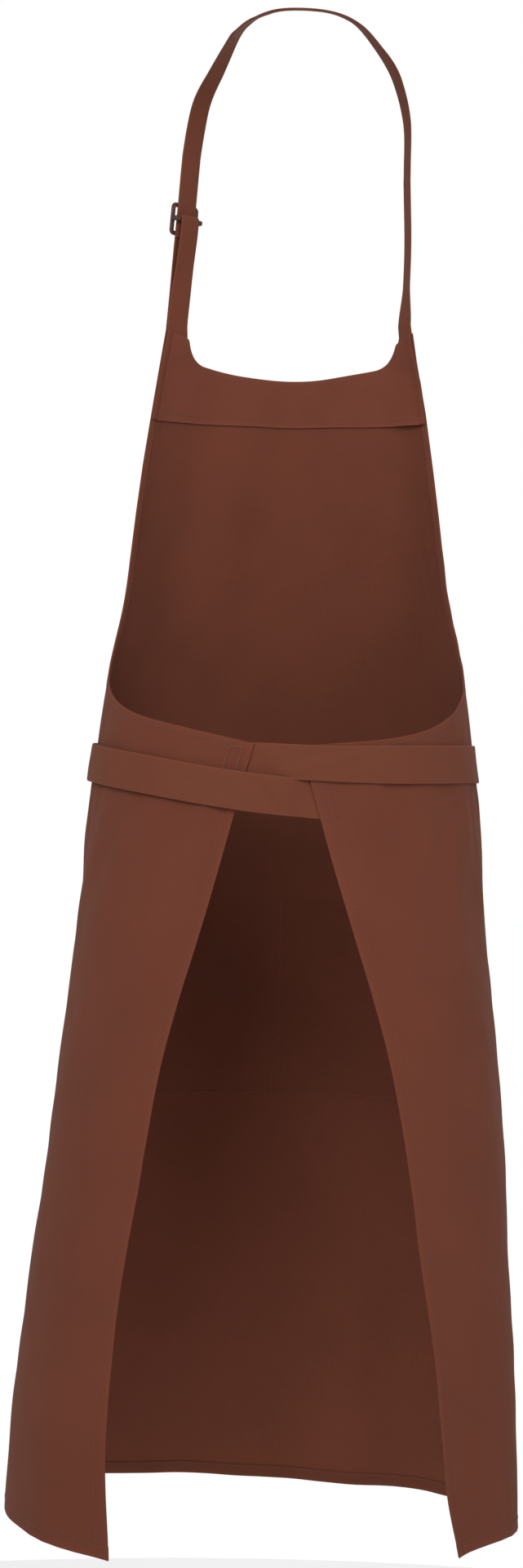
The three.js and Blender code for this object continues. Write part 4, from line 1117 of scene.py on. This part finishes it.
# %% The bow's loops and ends
knot_back = float(on_body(0, KNOT_RISE, 0.0014)[1])
knot_middle = knot_back + KNOT_DEPTH / 2
LOOP_LENGTH, LOOP_GAPE, LOOP_DROOP = 0.078, 0.009, 0.18
TAIL_LENGTH = 0.185


def at_waist(x, y, h):
    return np.array([x, y, h + WAIST_Z])


def pleats(from_end, across, depth=0.0011, reach=0.020):
    return depth * np.sin(across * 8.5) * np.exp(-np.abs(from_end) / reach)


def bow_loop(name, side, node):
    inset, bend = KNOT_WIDTH / 2 + 0.0005, LOOP_GAPE / 2
    near = knot_middle + 0.0050
    span = LOOP_LENGTH - inset - bend
    route = []
    for share in (0, 0.35, 0.7):
        x = inset + share * span
        route.append(at_waist(side * x, near + bend * (1 - share) * 0.2, KNOT_RISE - LOOP_DROOP * x))
    for a in np.linspace(0, math.pi, 7):
        x = LOOP_LENGTH - bend + bend * math.sin(a)
        route.append(at_waist(side * x, near + bend - bend * math.cos(a), KNOT_RISE - LOOP_DROOP * x))
    for share in (0.7, 0.35, 0):
        x = inset + share * span
        route.append(at_waist(side * x, near + 2 * bend - (1 - share) * 0.0028, KNOT_RISE - LOOP_DROOP * x))
    places, shares = catmull_rom(route, 160)
    up = unit(np.array([-side * LOOP_DROOP, 0, -1.0])) * -1
    ends = np.minimum(shares, 1 - shares)
    share = 0.56 + 0.44 * smoothstep(ends, 0, 0.22)
    total = float(np.linalg.norm(np.diff(places, axis=0), axis=1).sum())

    def lift(length, across):
        return (pleats(length, across) + pleats(total - length, across)
                + 0.0005 * np.sin(length / 0.013 + side) * np.sin(across * 2.2))

    piece, length = band_piece(name, places, np.repeat(up[None, :], 160, axis=0), TIE_WIDTH - 0.003,
                               TIE_THICKNESS, share=share, lift=lift)
    return finished(piece, "apron", "strap_cloth", node)


def tie_end(name, side, depth, node):
    top = KNOT_RISE - KNOT_HEIGHT / 2 - 0.001
    route = [at_waist(side * (0.005 + 0.016 * u), depth + 0.002 * u + 0.0012 * math.sin(5 * u),
                      top - TAIL_LENGTH * u)
             for u in (0, 0.08, 0.2, 0.35, 0.5, 0.65, 0.8, 0.9, 1)]
    places, shares = catmull_rom(route, 170)
    turn = 0.03 * np.sin(shares * 4.4) * side
    share = 0.52 + 0.48 * smoothstep(shares, 0, 0.20)

    def lift(length, across):
        fold = 0.0012 * np.exp(-(((length - TAIL_LENGTH + 0.006) / 0.010) ** 2)) * 0.2
        return pleats(length, across, 0.0013, 0.026) + 0.0007 * np.sin(length / 0.024) * across + fold

    piece, length = band_piece(name, places, level_direction(turn), TIE_WIDTH, TIE_THICKNESS,
                               share=share, lift=lift)
    return finished(piece, node, "strap_cloth", node)


bow_loop("bow_loop_left_band", -1, "bow_loop_left")
bow_loop("bow_loop_right_band", 1, "bow_loop_right")
tie_end("tie_end_left_band", -1, knot_middle + 0.003, "tie_end_left")
tie_end("tie_end_right_band", 1, knot_middle + 0.007, "tie_end_right")


# %% The knot
def knot_core():
    """A squeezed lump of cloth with slanting pleats, closed at both poles."""
    rings, around = 40, 56
    polar = np.linspace(0, math.pi, rings + 1)[1:-1][:, None]
    turn = np.linspace(0, 2 * math.pi, around, endpoint=False)[None, :]

    def soft(v, power):
        return np.sign(v) * np.abs(v) ** power

    pleat = 1 + 0.055 * np.sin(7 * turn + 5 * polar) * np.sin(polar) + 0.03 * np.sin(3 * turn - 4 * polar)
    x = KNOT_WIDTH / 2 * soft(np.cos(polar), 0.75) * np.ones_like(turn)
    y = KNOT_DEPTH / 2 * 0.92 * soft(np.sin(polar), 0.8) * soft(np.cos(turn), 0.85) * pleat
    z = KNOT_HEIGHT / 2 * 0.86 * soft(np.sin(polar), 0.8) * soft(np.sin(turn), 0.85) * pleat
    grid = np.stack([x, y, z], axis=-1).reshape(-1, 3)
    poles = np.array([[KNOT_WIDTH / 2, 0, 0], [-KNOT_WIDTH / 2, 0, 0]])
    points = np.vstack([grid, poles]) + (0, knot_middle, KNOT_RISE + WAIST_Z)
    index = np.arange(len(grid)).reshape(rings - 1, around)
    after = np.roll(index, -1, axis=1)
    quads = np.stack([index[:-1], index[1:], after[1:], after[:-1]], axis=-1).reshape(-1, 4)
    flat = np.stack([points[:, 0], points[:, 2]], axis=-1)
    piece = closed_mesh("tie_knot_core", points, quads, flat, band)
    work = bmesh.new()
    work.from_mesh(piece.data)
    work.verts.ensure_lookup_table()
    for pole, ring, way in ((len(grid), index[0], 1), (len(grid) + 1, index[-1], -1)):
        for a, b in zip(ring, np.roll(ring, -1)):
            work.faces.new([work.verts[int(v)] for v in (pole, a, b)[::way]])
    bmesh.ops.recalc_face_normals(work, faces=work.faces)
    work.to_mesh(piece.data)
    work.free()
    piece.data.polygons.foreach_set("use_smooth", [True] * len(piece.data.polygons))
    return piece


def knot_wrap():
    """One turn of the band over the knot, open at the back, with its pleats running round."""
    a = np.linspace(-2.5, 2.5, 90)
    places = np.stack([0.0016 * np.sin(a), knot_middle + (KNOT_DEPTH / 2 - 0.0004) * np.cos(a),
                       KNOT_RISE + WAIST_Z + (KNOT_HEIGHT / 2 - 0.0004) * np.sin(a)], axis=-1)
    widths = np.repeat(np.array([[1.0, 0, 0.12]]), 90, axis=0)

    def lift(length, across):
        return -0.0016 * across ** 4 + 0.0005 * np.sin(across * 9 + length / 0.006)

    piece, _ = band_piece("tie_knot_wrap", places, widths, 0.0175, TIE_THICKNESS, lift=lift)
    return piece


finished(knot_core(), "apron", "strap_cloth", "tie_knot")
finished(knot_wrap(), "apron", "strap_cloth")

# %% [markdown]
# Lockstitch shows as short raised dashes with the cloth pulled in between them. One stitch is a small
# spindle whose ends dip into the cloth. A row lays copies of it along a line of the cut, on the outer
# face and, where the inside is seen, on the inner face too.

# %% Rows of stitches
STITCH_PITCH, STITCH_LENGTH, THREAD_WIDTH = 0.0031, 0.0024, 0.00050
AROUND = 6


def stitches(name, starts, ends, faces_out, material=None):
    """One object holding a spindle between each start and end; faces_out lie off the cloth."""
    starts, ends, out = (np.asarray(v, float) for v in (starts, ends, faces_out))
    run = ends - starts
    across = unit(np.cross(run, out))
    steps = [(-0.02, 0.10, -0.00022), (0.16, 0.85, 0.00002), (0.50, 1.0, 0.00010), (0.84, 0.85, 0.00002),
             (1.02, 0.10, -0.00022)]
    rings = []
    for share, size, rise in steps:
        middle = starts + run * share + out * rise
        for k in range(AROUND):
            a = 2 * math.pi * k / AROUND
            reach = THREAD_WIDTH / 2 * size
            rings.append(middle + across * reach * math.cos(a) + out * reach * 0.8 * math.sin(a))
    points = np.stack(rings, axis=1)
    shape = []
    for ring in range(len(steps) - 1):
        for k in range(AROUND):
            a, b = ring * AROUND + k, ring * AROUND + (k + 1) % AROUND
            shape.append((a, b, b + AROUND, a + AROUND))
    last = (len(steps) - 1) * AROUND
    for first, order in ((0, (0, 5, 4, 1)), (0, (1, 4, 3, 2)), (last, (0, 1, 4, 5)), (last, (1, 2, 3, 4))):
        shape.append(tuple(first + k for k in order))
    shape = np.array(shape)
    faces = (shape[None, :, :] + (np.arange(len(points)) * points.shape[1])[:, None, None]).reshape(-1, 4)
    flat = np.zeros((points.shape[0] * points.shape[1], 2))
    return closed_mesh(name, points.reshape(-1, 3), faces, flat, material or thread)


def stitch_line(route, off):
    """Starts, ends and outward directions of the stitches of a row on the cloth; off may be a function."""
    route = finer(route, STITCH_PITCH)
    run = unit(np.diff(route, axis=0))
    first, last = route[:-1], route[:-1] + run * STITCH_LENGTH
    level = off if callable(off) else (lambda s, h: off + 0 * s)
    way = 1.0 if float(np.mean(level(first[:, 0], first[:, 1]))) > 0 else -1.0
    rows = []
    for place in (first, last):
        s, h = place[:, 0], place[:, 1]
        rows.append(on_cloth(s, h, level(s, h)))
    s, h = first[:, 0], first[:, 1]
    out = unit(on_cloth(s, h, 0.001, 0.0) - on_cloth(s, h, 0.0, 0.0)) * way
    return rows[0], rows[1], out


def stitched(name, lines, slot="thread", nodes=(), body="apron"):
    """A piece holding several rows, each a (route, off) pair."""
    made = [stitch_line(route, off) for route, off in lines]
    piece = stitches(name, *(np.vstack([row[k] for row in made]) for k in range(3)))
    return finished(piece, body, slot, *nodes)


OUTER_STITCH = CLOTH / 2 + 0.00012
HEM_STITCH = HEM_OFF - HEM_THICKNESS / 2 - 0.00012
INNER_STITCH = -CLOTH / 2 - 0.00012


def both_faces(route, inner=HEM_STITCH):
    return [(route, OUTER_STITCH), (route, inner)]


arm_row = inside(finer(arm_edge, 0.003), ARM_HEM - 0.0012)[:-3]
side_row = [(PANEL_HALF_WIDTH - SIDE_HEM + 0.0012, BACK_RISE - 0.002),
            (PANEL_HALF_WIDTH - SIDE_HEM + 0.0012, -SKIRT_DROP + 0.002)]
hem_level = -SKIRT_DROP + BOTTOM_HEM - 0.0012
hem_row = [(-PANEL_HALF_WIDTH + 0.002, hem_level), (PANEL_HALF_WIDTH - 0.002, hem_level)]
for side, flip in (("right", lambda r: r), ("left", mirrored)):
    stitched(f"armhole_stitches_{side}", both_faces(flip(arm_row)), nodes=(f"armhole_thread_{side}",))
    stitched(f"side_hem_stitches_{side}", both_faces(flip(side_row)), nodes=(f"side_hem_thread_{side}",))
stitched("bottom_hem_stitches", both_faces(hem_row), nodes=("bottom_hem_thread",))

neck_line = inside(finer(neck_edge[:-3], 0.003), 0.0048)
neck_row = np.vstack([mirrored(neck_line), neck_line[1:]])


def on_facing(s, h):
    return facing_off(s, h) - CLOTH / 2 - 0.00012


stitched("neckline_stitches", [(neck_row, OUTER_STITCH), (neck_row, on_facing)], nodes=("neckline_thread",))
FACING_SEAM = 0.0062
facing_row_rise = FACING_BOTTOM + FACING_SEAM
facing_row = [(-facing_limit + 0.006, facing_row_rise), (facing_limit - 0.006, facing_row_rise)]
stitched("facing_stitches", [(facing_row, OUTER_STITCH), (facing_row, on_facing)], nodes=("facing_thread",))


def on_pocket(s, h):
    return pocket_off(s, h) + CLOTH / 2 + 0.00012


POCKET_SEAM = 0.003
seam = POCKET_HALF_WIDTH - POCKET_SEAM
outline = [(-seam, POCKET_TOP - 0.001), (-seam, POCKET_BOTTOM + POCKET_SEAM),
           (seam, POCKET_BOTTOM + POCKET_SEAM), (seam, POCKET_TOP - 0.001)]
divider = [(0.0005, POCKET_TOP - 0.001), (0.0005, POCKET_BOTTOM + POCKET_SEAM)]
second = [(-0.0045, POCKET_BOTTOM + 0.045), (-0.0045, POCKET_BOTTOM + POCKET_SEAM)]
mouth = [(-seam, POCKET_TOP - POCKET_HEM + 0.0015), (seam, POCKET_TOP - POCKET_HEM + 0.0015)]
stitched("pocket_stitches", [(outline, on_pocket), (outline, INNER_STITCH), (mouth, on_pocket)],
         nodes=("pocket_thread",))
stitched("pocket_divider_stitches", [(divider, on_pocket), (divider, INNER_STITCH), (second, INNER_STITCH),
                                     (second, on_pocket)], nodes=("pocket_divider_thread",))

# %% The stitched squares that hold the ties and the straps
BOX_LENGTH, BOX_MARGIN = 0.0105, 0.0032


def box_rows(middle, length, height):
    x, z = length / 2, height / 2
    s, h = middle
    return [[(s - x, h - z), (s + x, h - z)], [(s + x, h - z), (s + x, h + z)],
            [(s + x, h + z), (s - x, h + z)], [(s - x, h + z), (s - x, h - z)]]


left_box = box_rows((-(PANEL_HALF_WIDTH - 0.0130), 0.0166), BOX_LENGTH, TIE_WIDTH - 2 * BOX_MARGIN)
right_box = box_rows((PANEL_HALF_WIDTH - 0.0085, -0.0112), BOX_LENGTH, TIE_WIDTH - 2 * BOX_MARGIN)
stitched("tie_box_stitches_left", [(r, LEFT_TIE_OFF + TIE_THICKNESS / 2 + 0.0002) for r in left_box],
         nodes=("tie_box_thread_left",))
stitched("tie_box_stitches_right", [(r, OUTER_STITCH) for r in right_box], nodes=("tie_box_thread_right",))
